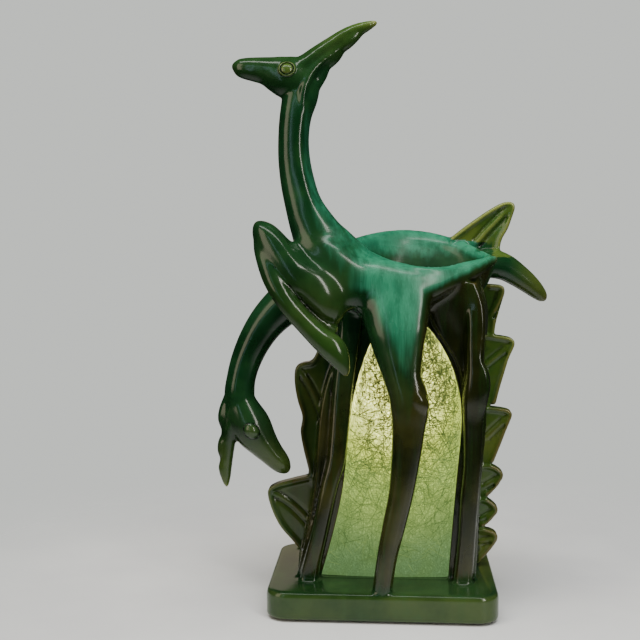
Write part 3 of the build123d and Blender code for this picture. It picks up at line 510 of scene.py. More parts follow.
def add_plinth(clay):
    """A hollow slab with eased edges, and a boss in each corner for the felt."""
    profile = [
        (PLINTH_WALL, 13.5), (PLINTH_WALL, 4.0), (5.4, FELT + 0.4), (4.6, FELT), (1.4, FELT),
        (0.4, FELT + 0.5), (0, FELT + 1.6), (0, 10.0), (0, FLOOR_Z - 3.4), (0.4, FLOOR_Z - 1.6),
        (1.3, FLOOR_Z - 0.5), (3.0, FLOOR_Z),
    ]
    rings = []
    for inset, z in profile:
        corner = max(PLINTH_CORNER - inset, 4)
        rings.append(rounded_loop(PLINTH_LONG - 2 * inset, PLINTH_DEEP - 2 * inset, corner, z))
    clay.rings(rings)
    for x in (-58, 58):
        for y in (-40, 40):
            add_pin(clay, (x, y, FELT), (x, y, 15.0), 9.0)


def add_pin(clay, start, end, radius):
    """A round bar between two points."""
    start, end = Vector(start), Vector(end)
    turn = (end - start).to_track_quat("Z", "Y")
    circle = np.linspace(0, 2 * math.pi, 32, endpoint=False)
    spokes = [turn @ Vector((radius * math.cos(a), radius * math.sin(a), 0)) for a in circle]
    clay.rings([[tuple(point + spoke) for spoke in spokes] for point in (start, end)])


def add_leaf(clay, groove, outline, hidden, rib, front_y, back_y, edge, crest):
    """A leaf plate with a rolled edge and a midrib that stands between two grooves."""
    edge_run = [tuple(p) for p in catmull(outline, 5)]
    loop = edge_run + hidden
    area = sum(a[0] * b[1] - b[0] * a[1] for a, b in zip(loop, loop[1:] + loop[:1]))
    inward = 1 if area < 0 else -1
    clay.slab(loop, front_y, back_y)
    run = np.array(edge_run)
    along = np.gradient(run, axis=0)
    along /= np.linalg.norm(along, axis=1)[:, None]
    inset = run + inward * edge * 0.9 * np.column_stack([along[:, 1], -along[:, 0]])
    clay.rope([(x, front_y - 0.2, z) for x, z in inset], edge, ring=10, steps=3)
    clay.rope([(x, front_y + 0.5, z) for x, z in rib], crest)
    run = np.array(rib, float)
    along = run[-1] - run[0]
    along /= np.linalg.norm(along)
    across = np.array([along[1], -along[0]])
    for side in (-1, 1):
        line = run + side * (crest + 1.3) * across
        groove.rope([(x, front_y - 0.1, z) for x, z in line], [0.8] + [1.35] * (len(rib) - 1))


def add_leaves(clay, groove):
    for outline, hidden, rib in LEFT_LEAVES:
        add_leaf(clay, groove, outline, hidden, rib, 3.5, 13.0, 1.6, 1.5)
    for outline, rib in RIGHT_LEAVES:
        hidden = [(56, outline[-1][1]), (56, outline[0][1])]
        add_leaf(clay, groove, outline, hidden, rib, 6.0, 15.0, 1.4, 1.3)
    add_leaf(clay, groove, CROWN_LEAF, [(70, 222), (48, 228)], CROWN_RIB, 15.5, 23.0, 1.6, 1.8)


def add_thigh(clay):
    """The scooped flank between the screen's edge and the outer ridge of the grazing animal's thigh."""
    levels = []
    for z, left, right in THIGH:
        wide = right - left
        lean = max(0.0, (z - 185) / 32)
        low = max(0.0, (144 - z) / 16)
        outline = [
            (left, -18), (left + 0.3, -24 - 3 * lean), (left + 0.10 * wide, -27 - 5 * lean),
            (left + 0.40 * wide, -27.5 - 6 * lean), (left + 0.68 * wide, -30.5 - 3 * lean),
            (right - 0.5, -36 + 2 * lean + 4 * low), (right + 2.5, -34 + 3 * lean + 4 * low),
            (right + 3.5, -26), (right + 3.0, -16),
        ]
        levels.append((z, outline))
    clay.plan(levels)


def lobes(clay, runs, y, thick):
    """A mane of soft lobes in the picture plane, each a run of X, Z and half width."""
    for run in runs:
        clay.limb([(x, y, z, wide, min(thick, wide)) for x, z, wide in run], ring=28)


def sculpt():
    """The clay that is there, the clay that is taken away, and the grooves pressed into it."""
    clay, hollow, groove = Clay(), Clay(), Clay()
    clay.limb(STANDING_NECK, ridges=[(243, 0.13, 23, 0.32, 1.0), (300, 0.04, 22, 0.3, 1.0)])
    clay.limb(STANDING_HEAD)
    clay.limb(STANDING_HORN, ridges=[(285, 0.15, 20, 0.05, 0.95)])
    lobes(clay, MANE_LOBES, -22, 4.6)
    clay.rope(CREASE_FILL, 3.6)
    clay.limb(BACK_WALL)
    clay.pillow(SHOULDER_OUTLINE, (-48, 217), -40, -56.5, bulge=2.2)
    clay.limb(FOLDED_LOWER_LEG, ridges=[(255, 0.06, 22, 0.1, 0.95)])
    clay.limb(STANDING_HIND_LEG, ridges=[(222, 0.12, 18, 0.5, 1.0)], power=2.15)
    for stations in (HOCK, TORSO, UPPER_CHEST, LOWER_CHEST):
        clay.limb(stations)
    clay.rope(NECK_RIDGE, NECK_RIDGE_RADII)
    clay.limb(GRAZING_FORELEG, power=3.4)
    clay.limb(GRAZING_HIND_LEG, ridges=[(235, 0.10, 18, 0.5, 1.0)], power=3.0)
    add_thigh(clay)
    clay.limb(GRAZING_TAIL)
    clay.limb(GRAZING_NECK, ridges=[(255, 0.05, 20, 0.2, 1.0)])
    clay.limb(GRAZING_HEAD, ridges=[(290, 0.05, 18, 0.1, 0.9)])
    clay.limb(GRAZING_HORN, ridges=[(262, 0.12, 24, 0.1, 0.9)])
    lobes(clay, GRAZING_MANE, -8, 4.2)
    add_planter(clay)
    add_arch(clay, OUTER_FRONT, OUTER_BACK, 14.5, ARCH_LEVELS)
    add_plinth(clay)
    # Rolled lips on both ends of the arch's outer edge.
    for profile, y in ((OUTER_FRONT, -22.6), (OUTER_BACK, 40.6)):
        edge = spline(profile, 40)
        clay.rope([(x, y, z) for x, z in edge], 1.6, ring=12, steps=2)
    add_leaves(clay, groove)
    groove.rope(NECK_CREASE, NECK_CREASE_RADII)
    # Taken away: the well above the bowl, the tunnel behind the screen, and the holes for pipe and cord.
    lid = [[(x, y, z) for x, y in lens_loop(1.0, WELL_INSET, 6.0)] for z in (300.0, 262.0)]
    hollow.rings(lid + well_rings()[4:])
    add_arch(hollow, INNER_FRONT, INNER_BACK, FLOOR_Z, TUNNEL_LEVELS)
    add_pin(hollow, (LAMP_X, LAMP_Y, 8), (LAMP_X, LAMP_Y, 24), 5.6)
    add_pin(hollow, (LAMP_X, 48, 8), (LAMP_X, 60, 8), 4.2)
    return clay, hollow, groove


def apply_modifiers(obj):
    graph = bpy.context.evaluated_depsgraph_get()
    mesh = bpy.data.meshes.new_from_object(obj.evaluated_get(graph))
    obj.modifiers.clear()
    obj.data = mesh


def remeshed(obj, voxel):
    modifier = obj.modifiers.new("fuse", "REMESH")
    modifier.mode, modifier.voxel_size, modifier.adaptivity = "VOXEL", voxel, 0.0
    apply_modifiers(obj)


def fuse(name, clay, taken, voxel):
    """One skin round all the forms, with others taken away, eased like a cast and glazed surface."""
    obj = mesh_object(name, clay.verts, clay.faces, scale=1.0)
    remeshed(obj, voxel)
    for index, forms in enumerate(taken):
        tool = mesh_object(f"{name}_tool{index}", forms.verts, forms.faces, scale=1.0)
        remeshed(tool, voxel)
        cut = obj.modifiers.new("cut", "BOOLEAN")
        cut.operation, cut.solver, cut.object = "DIFFERENCE", "MANIFOLD", tool
        apply_modifiers(obj)
        bpy.data.objects.remove(tool)
    remeshed(obj, voxel)
    ease = obj.modifiers.new("ease", "SMOOTH")
    ease.factor, ease.iterations = 0.5, 7
    apply_modifiers(obj)
    return obj


def coordinates(mesh):
    """The mesh's points and normals as two arrays."""
    count = len(mesh.vertices)
    co, normal = np.empty(count * 3), np.empty(count * 3)
    mesh.vertices.foreach_get("co", co)
    mesh.vertices.foreach_get("normal", normal)
    return co.reshape(-1, 3), normal.reshape(-1, 3)


def edge_ends(mesh):
    """The two end points of every edge, as rows of two indices."""
    edges = np.empty(len(mesh.edges) * 2, int)
    mesh.edges.foreach_get("vertices", edges)
    return edges.reshape(-1, 2)


# Places where one form runs into the next: middle, reach in X, Y and Z, and how many rounds of easing.
EASED = [
    ((-2, -44, 211), (38, 18, 20), 36),
    ((-28, -46, 224), (32, 16, 24), 90),
    ((-14, -44, 228), (26, 16, 18), 80),
    ((-46, -42, 246), (22, 16, 18), 90),
    ((-7, -46, 192), (17, 16, 22), 70),
    ((-16, -40, 199), (16, 16, 13), 60),
    ((-74, -46, 236), (14, 14, 16), 16),
    ((-50, -30, 349), (8, 8, 9), 10),
    ((44, -32, 211), (17, 14, 11), 24),
    ((60, -34, 131), (9, 9, 10), 24),
]


def relax(obj, regions):
    """Evens out the surface inside soft-edged ellipsoids."""
    mesh = obj.data
    co, _ = coordinates(mesh)
    edges = edge_ends(mesh)
    for middle, reach, rounds in regions:
        weight = np.clip(1.6 * (1 - np.linalg.norm((co - middle) / reach, axis=1)), 0, 1)
        a, b = edges[(weight[edges] > 0).any(axis=1)].T
        ends, others = np.concatenate([a, b]), np.concatenate([b, a])
        count = np.maximum(np.bincount(ends, minlength=len(co)), 1)
        for _ in range(rounds):
            sums = [np.bincount(ends, co[others, k], len(co)) for k in range(3)]
            mean = np.column_stack(sums) / count[:, None]
            co += 0.6 * weight[:, None] * (mean - co)
    mesh.vertices.foreach_set("co", co.ravel())
    mesh.update()


def press_eyes(obj):
    """Presses each eye into the heads: a domed disc with a groove round it."""
    mesh = bmesh.new()
    mesh.from_mesh(obj.data)

    def near(vertex, x, z, middle, reach):
        """Whether a point is within reach of an eye, seen from the front, and part of its head."""
        return math.hypot(vertex.co.x - x, vertex.co.z - z) < reach and abs(vertex.co.y - middle) < HEAD_HALF

    for x, z, middle, _, wide, *_ in EYES:
        for reach in (2.1 * wide, 1.7 * wide):
            edges = [e for e in mesh.edges if all(near(v, x, z, middle, reach) for v in e.verts)]
            bmesh.ops.subdivide_edges(mesh, edges=edges, cuts=1, use_grid_fill=True)
            local = [v for v in mesh.verts if near(v, x, z, middle, reach)]
            for _ in range(4):
                bmesh.ops.smooth_vert(
                    mesh, verts=local, factor=0.5, use_axis_x=True, use_axis_y=True, use_axis_z=True
                )
    mesh.normal_update()
    moves = []
    for vertex in mesh.verts:
        for x, z, middle, lean, wide, groove, share, height, roundness in EYES:
            if not near(vertex, x, z, middle, 2 * wide) or abs(vertex.normal.y) < 0.2:
                continue
            across, up = vertex.co.x - x, vertex.co.z - z
            along = (across * math.cos(lean) + up * math.sin(lean)) / 1.08
            aside = (up * math.cos(lean) - across * math.sin(lean)) * 1.06
            away = math.hypot(along, aside) / wide
            dome = max(0.0, 1 - (away / share) ** 2)
            lift = height * dome**roundness - groove * math.exp(-(((away - 1.0) / 0.14) ** 2))
            moves.append((vertex, Vector((0, math.copysign(lift, vertex.normal.y), 0))))
    for vertex, move in moves:
        vertex.co += move
    mesh.to_mesh(obj.data)
    mesh.free()


def thinned(obj, quads):
    if len(obj.data.polygons) > quads:
        thin = obj.modifiers.new("thin", "DECIMATE")
        thin.ratio = quads / len(obj.data.polygons)
        apply_modifiers(obj)


def to_metres(obj):
    for vertex in obj.data.vertices:
        vertex.co *= MM
    obj.data.update()


POTTERY_NODES = [
    "plinth", "screen_arch", "planter", "standing_hind_leg", "standing_neck", "standing_head",
    "standing_horn", "folded_foreleg", "grazing_foreleg", "grazing_hind_leg", "grazing_tail",
    "grazing_neck", "grazing_head", "grazing_horn", "left_leaves", "right_leaves", "crown_leaf",
]
VOXEL = 0.82

body, hollow, groove = sculpt()
pottery = fuse("glazed_pottery", body, (hollow, groove), VOXEL)
relax(pottery, EASED)
press_eyes(pottery)
thinned(pottery, 96000)
to_metres(pottery)
smooth_shade(pottery)
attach(pottery, "lamp")
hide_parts(*POTTERY_NODES)


# ================================ the screen ============================================================


def screen_y(x):
    """The sheet's front: bowed toward the viewer between its two edges."""
    return SCREEN_EDGE_Y - SCREEN_BOW * max(0.0, 1 - ((x - 1) / 51) ** 2)


def screen_edges():
    """The X of the sheet's left and right edges at rising heights."""
    profile = arch_profile(INNER_FRONT, INNER_BACK, SCREEN_EDGE_Y, 240)
    crown = int(np.argmax(profile[:, 1]))
    left, right = profile[: crown + 1], profile[crown:][::-1]
    heights = FLOOR_Z + (profile[crown, 1] - 0.15 - FLOOR_Z) * np.sin(np.linspace(0, math.pi / 2, 110))
    lefts = np.interp(heights, left[:, 1], left[:, 0]) - 0.4
    rights = np.interp(heights, right[:, 1], right[:, 0]) + 0.4
    return heights, lefts, rights


def make_sheet():
    """The sheet as a fine grid with the small ripples of hand-laid fibre, front and back."""
    columns = 70
    verts, faces = [], []
    for side in (0, 1):
        for z, left, right in zip(*screen_edges()):
            for k in range(columns):
                x = left + (right - left) * k / (columns - 1)
                ripple = 0.10 * math.sin(0.9 * x + 0.31 * z) * math.sin(0.23 * x - 0.8 * z)
                verts.append((x, screen_y(x) + side * SCREEN_THICK + ripple, z))
    rows = len(verts) // (2 * columns)
    back = rows * columns
    for i in range(rows - 1):
        for k in range(columns - 1):
            a = i * columns + k
            faces.append((a, a + 1, a + columns + 1, a + columns))
            faces.append((back + a, back + a + columns, back + a + columns + 1, back + a + 1))
        for k in (0, columns - 1):
            a, b = i * columns + k, (i + 1) * columns + k
            faces.append((a, b, back + b, back + a) if k == 0 else (a, back + a, back + b, b))
    for k in range(columns - 1):
        faces.append((k, back + k, back + k + 1, k + 1))
        a = (rows - 1) * columns + k
        faces.append((a, a + 1, back + a + 1, back + a))
    return mesh_object("fibreglass_sheet", verts, faces)


def make_strands(count):
    """Loose glass fibres on the sheet's face: thin curved threads, crossing at random."""
    random.seed(SEED)
    heights, lefts, rights = screen_edges()
    verts, faces, shades = [], [], []
    for _ in range(count):
        z = FLOOR_Z + 3 + random.random() ** 0.55 * (heights[-1] - FLOOR_Z - 8)
        left, right = np.interp(z, heights, lefts), np.interp(z, heights, rights)
        x = random.uniform(left, right)
        heading, bend = random.uniform(0, math.pi), random.gauss(0, 0.07)
        length, radius = random.uniform(7, 22), random.uniform(0.08, 0.11)
        radius += 0.08 * min(1.0, max(0.0, (z - 70) / 60)) * random.random()
        steps = max(4, int(length / 2.2))
        pace = length / steps
        lift = random.uniform(0.16, 0.40)
        shade = random.random()
        run = []
        for _ in range(steps + 1):
            left, right = np.interp(z, heights, lefts), np.interp(z, heights, rights)
            if not (left + 0.5 < x < right - 0.5 and FLOOR_Z + 1 < z < heights[-1] - 2):
                break
            run.append((x, z, heading))
            x, z, heading = x + math.cos(heading) * pace, z + math.sin(heading) * pace, heading + bend
        if len(run) < 4:
            continue
        base = len(verts)
        for index, (px, pz, turn) in enumerate(run):
            width = radius * (0.35 if index in (0, len(run) - 1) else 1)
            y = screen_y(px) - lift
            nx, nz = -math.sin(turn) * width, math.cos(turn) * width
            verts += [(px + nx, y + 0.08, pz + nz), (px, y - width, pz), (px - nx, y + 0.08, pz - nz)]
            shades += [shade] * 3
        last = base + 3 * (len(run) - 1)
        for a in range(base, last, 3):
            for j in range(3):
                b = (j + 1) % 3
                faces.append((a + j, a + 3 + j, a + 3 + b, a + b))
        faces += [(base, base + 1, base + 2), (last + 2, last + 1, last)]
    obj = mesh_object("fibreglass_strands", verts, faces)
    paint(obj, "strand_shade", [shades] * 3)
    return obj


sheet = make_sheet()
strands = make_strands(4400)
for piece in (sheet, strands):
    smooth_shade(piece)
    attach(piece, "lamp")
    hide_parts("fibreglass_screen")


# ================================ materials =============================================================


class Nodes:
    """Short ways to build a material's node tree."""

    def __init__(self, name):
        self.material = bpy.data.materials.new(name)
        self.material.use_nodes = True
        self.tree = self.material.node_tree
        self.shader = self.tree.nodes["Principled BSDF"]

    def node(self, kind, **inputs):
        made = self.tree.nodes.new(kind)
        for key, value in inputs.items():
            self.feed(made.inputs[key.replace("_", " ")], value)
        return made

    def feed(self, socket, value):
        if isinstance(value, bpy.types.NodeSocket):
            self.tree.links.new(value, socket)
        else:
            socket.default_value = value

    def math(self, operation, *values):
        made = self.tree.nodes.new("ShaderNodeMath")
        made.operation = operation
        for socket, value in zip(made.inputs, values):
            self.feed(socket, value)
        return made.outputs[0]

    def plus(self, a, b):
        return self.math("ADD", a, b)

    def minus(self, a, b):
        return self.math("SUBTRACT", a, b)

    def times(self, a, b):
        return self.math("MULTIPLY", a, b)

    def hypot(self, a, b):
        return self.math("SQRT", self.plus(self.math("POWER", a, 2.0), self.math("POWER", b, 2.0)))

    def mix(self, factor, a, b, blend="MIX"):
        made = self.tree.nodes.new("ShaderNodeMix")
        made.data_type, made.blend_type = "RGBA", blend
        self.feed(made.inputs[0], factor)
        for socket, colour in ((made.inputs[6], a), (made.inputs[7], b)):
            self.feed(socket, colour if isinstance(colour, bpy.types.NodeSocket) else (*colour, 1))
        return made.outputs[2]

    def position(self, scale=(1, 1, 1)):
        """Where the point is on the object, in metres times scale."""
        coords = self.tree.nodes.new("ShaderNodeTexCoord")
        return self.node("ShaderNodeMapping", Scale=scale, Vector=coords.outputs["Object"]).outputs[0]

    def axes(self, vector):
        """The X, Y and Z of a vector."""
        return list(self.node("ShaderNodeSeparateXYZ", Vector=vector).outputs)

    def attribute(self, name):
        """The four channels of a colour painted on the mesh."""
        painted = self.tree.nodes.new("ShaderNodeAttribute")
        painted.attribute_name = name
        split = self.node("ShaderNodeSeparateColor", Color=painted.outputs["Color"])
        return *split.outputs, painted.outputs["Alpha"]

    def noise(self, vector, scale, detail=3.0, rough=0.55):
        made = self.node("ShaderNodeTexNoise", Vector=vector, Scale=scale, Detail=detail, Roughness=rough)
        return made.outputs["Fac"]

    def ramp(self, factor, low, high, share=1.0):
        """Rises smoothly from 0 at low to share at high."""
        made = self.tree.nodes.new("ShaderNodeMapRange")
        made.interpolation_type = "SMOOTHSTEP"
        for name, value in (("Value", factor), ("From Min", low), ("From Max", high), ("To Max", share)):
            self.feed(made.inputs[name], value)
        return made.outputs["Result"]

    def bump(self, height, strength, distance):
        made = self.node("ShaderNodeBump", Height=height, Strength=strength, Distance=distance)
        self.set(Normal=made.outputs["Normal"])

    def set(self, **inputs):
        for key, value in inputs.items():
            self.feed(self.shader.inputs[key.replace("_", " ")], value)


def glaze():
    """Deep green glaze: streaked teal on the backs, olive on the legs, thin with a painted highlight on
    crests, and pooled with painted shade in creases.
    """
    m = Nodes("green_glaze")
    teal, olive, edge, moss = m.attribute("glaze_zones")
    position = m.position()
    streaks = m.noise(m.position((190, 190, 11)), 1.0, rough=0.6)
    fine_streaks = m.noise(m.position((1300, 1300, 70)), 1.0, rough=0.6)
    cloud = m.noise(position, 24, detail=4)
    mottle = m.noise(position, 95)
    speck = m.noise(position, 430, detail=2)
    base = m.mix(m.ramp(cloud, 0.3, 0.75), (0.0020, 0.018, 0.0045), (0.0070, 0.046, 0.015))
    base = m.mix(m.ramp(mottle, 0.45, 0.75, 0.4), base, (0.012, 0.056, 0.012))
    olive_shade = m.mix(m.ramp(cloud, 0.35, 0.7), (0.0055, 0.0072, 0.0012), (0.028, 0.027, 0.0050))
    olive_shade = m.mix(m.ramp(streaks, 0.45, 0.75, 0.55), olive_shade, (0.009, 0.032, 0.006))
    moss_shade = m.mix(m.ramp(cloud, 0.3, 0.7), (0.030, 0.078, 0.011), (0.095, 0.125, 0.020))
    moss_shade = m.mix(m.ramp(mottle, 0.5, 0.75, 0.4), moss_shade, (0.020, 0.060, 0.020))
    teal_shade = m.mix(m.ramp(streaks, 0.28, 0.72), (0.010, 0.105, 0.052), (0.024, 0.180, 0.098))
    teal_shade = m.mix(m.ramp(fine_streaks, 0.48, 0.78, 0.30), teal_shade, (0.060, 0.270, 0.170))
    teal_shade = m.mix(m.ramp(fine_streaks, 0.45, 0.25, 0.30), teal_shade, (0.005, 0.070, 0.026))
    colour = m.mix(olive, base, olive_shade)
    colour = m.mix(moss, colour, moss_shade)
    # The streaks fray the edges of the teal.
    frayed = m.plus(teal, m.times(m.minus(streaks, 0.5), 0.5))
    colour = m.mix(m.ramp(frayed, 0.12, 0.88), colour, teal_shade)
    # An edge of 0.5 is flat: above it the glaze thins over a crest and a painted highlight is laid on, and
    # below it the glaze pools and painted shade darkens it.
    thin = m.mix(moss, (0.085, 0.120, 0.030), (0.230, 0.250, 0.065))
    thin = m.mix(olive, thin, (0.105, 0.075, 0.025))
    thin = m.mix(teal, thin, (0.085, 0.270, 0.180))
    # Painted highlight: crests take a lighter colour, for thin glaze and for the light they catch.
    colour = m.mix(m.ramp(edge, 0.58, 0.90, 0.65), colour, thin)
    # Painted shade: creases and grooves go near black, for pooled glaze and for the shade in them; less so on
    # moss green.
    pooled_glaze_and_shade = m.times(m.ramp(edge, 0.45, 0.20), m.minus(0.90, m.times(moss, 0.70)))
    colour = m.mix(pooled_glaze_and_shade, colour, (0.0010, 0.0030, 0.0010))
    colour = m.mix(m.ramp(speck, 0.69, 0.77, 0.35), colour, (0.003, 0.010, 0.004))
    rough = m.plus(0.165, m.ramp(cloud, 0.4, 0.8, 0.05))
    m.set(Base_Color=colour, Roughness=m.plus(rough, m.times(teal, 0.12)))
    m.set(Coat_Weight=0.12, Coat_Roughness=0.10, Coat_IOR=1.45, IOR=1.45, Specular_IOR_Level=0.42)
    ripple = m.plus(m.noise(position, 80, detail=2), m.times(m.noise(position, 330, detail=1), 0.22))
    m.bump(ripple, 0.12, 0.0005)
    return m.material


def proud(mesh, co, normal):
    """How far each point stands out from its neighbours, evened out over a few rounds."""
    a, b = edge_ends(mesh).T
    step = co[b] - co[a]
    square = np.maximum(np.linalg.norm(step, axis=1), 0.1) ** 2
    total, weight = np.zeros(len(co)), np.zeros(len(co))
    for ends, bend in ((a, -(step * normal[a]).sum(1) / square), (b, (step * normal[b]).sum(1) / square)):
        np.add.at(total, ends, bend)
        np.add.at(weight, ends, 1)
    curve = total / np.maximum(weight, 1)
    for _ in range(4):
        total, weight = curve.copy(), np.ones(len(co))
        for near, far in ((a, b), (b, a)):
            np.add.at(total, near, curve[far])
            np.add.at(weight, near, 1)
        curve = total / weight
    return curve


def paint_zones(obj):
    """Writes where the glaze is teal, olive or moss green, and how far each point stands out.

    Each zone is a product of ramps. A ramp's two numbers are where it begins and where it is full, in
    millimetres, or in shares for a normal's Z and for the planter's plan.
    """
    co, normal = coordinates(obj.data)
    co /= MM
    x, y, z = co.T
    upward = normal[:, 2]

    def ramp(value, low, high):
        return np.clip((value - low) / (high - low), 0, 1)

    # The haunch is teal between its left edge and the ridge down its right side.
    ridge = 26 - 0.16 * (219 - z)
    left_edge = -17 + 0.38 * (222 - z).clip(0, 90)
    haunch = ramp(z, 138, 190) * ramp(z, 300, 280) * ramp(y, -16, -30)
    haunch *= ramp(x, left_edge, left_edge + 9) * ramp(x, ridge + 2.5, ridge - 2)
    haunch *= 1 - 0.35 * ramp(z, 215, 170)
    # The planter's outside, down to a line that rises toward the tail, and its inside, where painted shade
    # darkens the teal deeper down.
    rise = 0.44 * (x - 27).clip(0, 60)
    rim = ramp(z, 209 + rise, 215 + rise) * ramp(x, -26, -6) * ramp(x, 84, 62) * ramp(y, 30, 24)
    rim *= (1 - ramp(x, 59, 65) * (y > 0)) * ramp(z, 268, 262) * ramp(upward, -0.75, -0.35)
    plan = ((x - LENS_X) / 44) ** 2 + ((y - LENS_Y) / 35) ** 2
    above_floor, top = ramp(z, 202, 206), rim_height(x, y)
    well = above_floor * ramp(plan, 1.05, 0.75) * ramp(upward, -0.25, 0.05)
    # Painted shade: inside the well the teal fades out below the rim, leaving dark green deeper down.
    well *= ramp(z, 290, 270) * (0.06 + 0.94 * ramp(z, 229, 243))
    inside = ramp(plan, 1.0, 0.85) * ramp(z, top - 2, top - 7)
    nape = x + 58.5 - np.maximum(0, 300 - z) ** 1.55 * 0.0235
    neck_back = ramp(z, 218, 240) * ramp(z, 336, 316) * ramp(nape, 4, 10) * ramp(x, -2, -12)
    crown = (x > 42) & (y > 13.0) & (z > top + 0.6) | (x > 73) & (z > 232)
    teal = np.maximum.reduce([haunch, rim * (1 - inside), well, 0.45 * neck_back])
    teal = np.where(crown, 0.0, teal)
    # Olive lies on the legs and the thigh, and fainter on the leaves and the tail.
    legs = ramp(z, 190, 128) * (x > -62)
    leaves = ramp(y, 1, 4) * ((x > 66) | (x < -40)) * ramp(z, 218, 212)
    right = leaves * (x > 0) * ramp(z, 190, 182)
    folded = ramp(y, -36, -44) * ramp(x, -18, -26) * ramp(z, 262, 250) * ramp(z, 150, 160)
    tail_tip = ramp(x, 84, 104) * ramp(z, 195, 200)
    thigh = ramp(x, ridge + 1, ridge + 5) * ramp(z, 214 + rise, 206 + rise) * ramp(y, -8, -12)
    olive = [0.95 * legs, 0.55 * leaves - 0.25 * right, 0.15 * folded, 0.6 * tail_tip, 0.95 * thigh]
    olive = np.maximum.reduce(olive)
    olive *= 1 - above_floor * ramp(plan, 1.0, 0.8) * ramp(upward, -0.2, 0.1)
    olive = np.where((z < 24) & (x > -76), 0.35, olive)
    olive = np.where((x < -62) & (z > 80) & (z < 140), 0.45 * ramp(z, 140, 110), olive)
    # Moss green lies on the leaves, the horns' tips, the muzzle and the plinth's edge.
    moss = np.maximum.reduce([
        0.45 * leaves + 0.35 * right,
        0.95 * crown,
        0.45 * tail_tip,
        0.9 * ramp(z, 371, 381),
        0.6 * ramp(z, 95, 80) * (x < -100),
        0.45 * folded * ramp(z, 228, 185),
        0.40 * ramp(z, 352, 372),
        0.35 * (x < -62) * ramp(z, 112, 92) * ramp(z, 79, 82),
        0.30 * ramp(z, FLOOR_Z - 0.5, FLOOR_Z - 2.5),
        0.10 * ramp(z, 335, 350) * ramp(x, -40, -52),
    ])
    for eye_x, eye_z, _, _, wide, groove, *_ in EYES:
        away = np.hypot(x - eye_x, z - eye_z)
        moss = np.maximum(moss, ramp(away, 0.9 * wide, 0.7 * wide) * (0.1 + 0.7 * groove))
        olive = np.where(away < 0.8 * wide, 0.2, olive)
    # Crests and creases count for more on the leaves and the crown leaf than on the limbs, so their painted
    # highlights and painted shade are stronger.
    edge = 0.5 + (1.7 + 1.2 * leaves + 1.0 * crown) * proud(obj.data, co, normal)
    paint(obj, "glaze_zones", [teal, olive, np.clip(edge, 0, 1), moss])


def glow(m):
    """How far a point is from the glow's middle, in shares of its reach, and its height in millimetres."""
    x, _, z = m.axes(m.position((1 / MM, 1 / MM, 1 / MM)))
    across = m.math("DIVIDE", m.minus(x, GLOW_X), GLOW_WIDE)
    up = m.math("DIVIDE", m.minus(z, GLOW_Z), GLOW_TALL)
    return m.hypot(across, up), z


def sheet_material():
    """Glass fibre in resin with a painted glow from the bulb behind it: cream at the bulb, green-gold lower,
    grey-green at the foot.
    """
    m = Nodes("fibreglass_lit")
    away, height = glow(m)
    near = m.ramp(away, 1.0, 0.15)
    colour = m.mix(m.ramp(away, 0.20, 0.75), (11.0, 11.4, 3.2), (2.1, 2.4, 0.34))
    colour = m.mix(m.ramp(away, 0.60, 1.00), colour, (0.78, 1.05, 0.20))
    colour = m.mix(m.ramp(away, 0.90, 1.60), colour, (0.27, 0.44, 0.14))
    # Painted light falls off toward the foot of the sheet.
    colour = m.mix(m.ramp(height, 55, 22, 0.70), colour, (0.10, 0.22, 0.10))
    position = m.position()
    drift = m.noise(position, 60)
    colour = m.mix(m.ramp(drift, 0.35, 0.70, 0.30), colour, (0.14, 0.24, 0.04))
    # Layers of matted fibre: cell edges at three sizes, each drawn out its own way, then a fine grain.
    wander = m.node("ShaderNodeTexNoise", Vector=position, Scale=150.0).outputs["Color"]
    warped = m.mix(0.004, position, wander)
    threads = 0.0
    for size, turn, stretch in ((300.0, 0.6, 0.35), (460.0, 2.0, 0.4), (620.0, 1.2, 0.5)):
        mapping = m.node("ShaderNodeMapping", Vector=warped, Rotation=(0, turn, 0), Scale=(1.0, 1.0, stretch))
        cells = m.node("ShaderNodeTexVoronoi", Vector=mapping.outputs[0], Scale=size)
        cells.feature = "DISTANCE_TO_EDGE"
        threads = m.math("MAXIMUM", threads, m.ramp(cells.outputs["Distance"], 0.17, 0.05))
    # Painted light: the fibre edges go dark against the glow, and the grain pales near it.
    dark = m.mix(near, (0.035, 0.085, 0.020), (0.16, 0.17, 0.006))
    colour = m.mix(m.times(threads, m.plus(0.34, m.times(near, 0.20))), colour, dark)
    grain = m.noise(position, 1100, detail=2)
    grain_shade = m.mix(near, (0.06, 0.11, 0.03), (0.70, 0.74, 0.10))
    colour = m.mix(m.ramp(grain, 0.42, 0.62, 0.40), colour, grain_shade)
    m.set(Base_Color=m.mix(1.0, colour, (0.12, 0.12, 0.12), "MULTIPLY"), Roughness=0.55)
    # The painted glow is emitted as the sheet's own light.
    m.set(Emission_Color=colour, Emission_Strength=1.0, Specular_IOR_Level=0.2)
    m.bump(m.noise(position, 700, detail=2), 0.4, 0.0003)
    return m.material


def strand_material():
    """Single fibres with painted light: they emit dark green and brown against the painted glow, and paler
    green away from it.
    """
    m = Nodes("fibre_strands")
    shade, _, _, _ = m.attribute("strand_shade")
    away, _ = glow(m)
    near = m.ramp(away, 1.1, 0.2)
    dark = m.mix(m.ramp(shade, 0.2, 0.8), (0.018, 0.024, 0.003), (0.130, 0.120, 0.008))
    pale = m.mix(m.ramp(shade, 0.20, 0.8), (0.040, 0.095, 0.022), (0.27, 0.41, 0.11))
    colour = m.mix(near, pale, dark)
    colour = m.mix(m.times(m.noise(m.position(), 200), 0.4), colour, (0.02, 0.06, 0.012))
    m.set(Base_Color=(0.03, 0.045, 0.012, 1), Emission_Color=colour, Emission_Strength=1.0, Roughness=0.5)
    m.set(Specular_IOR_Level=0.15)
    return m.material


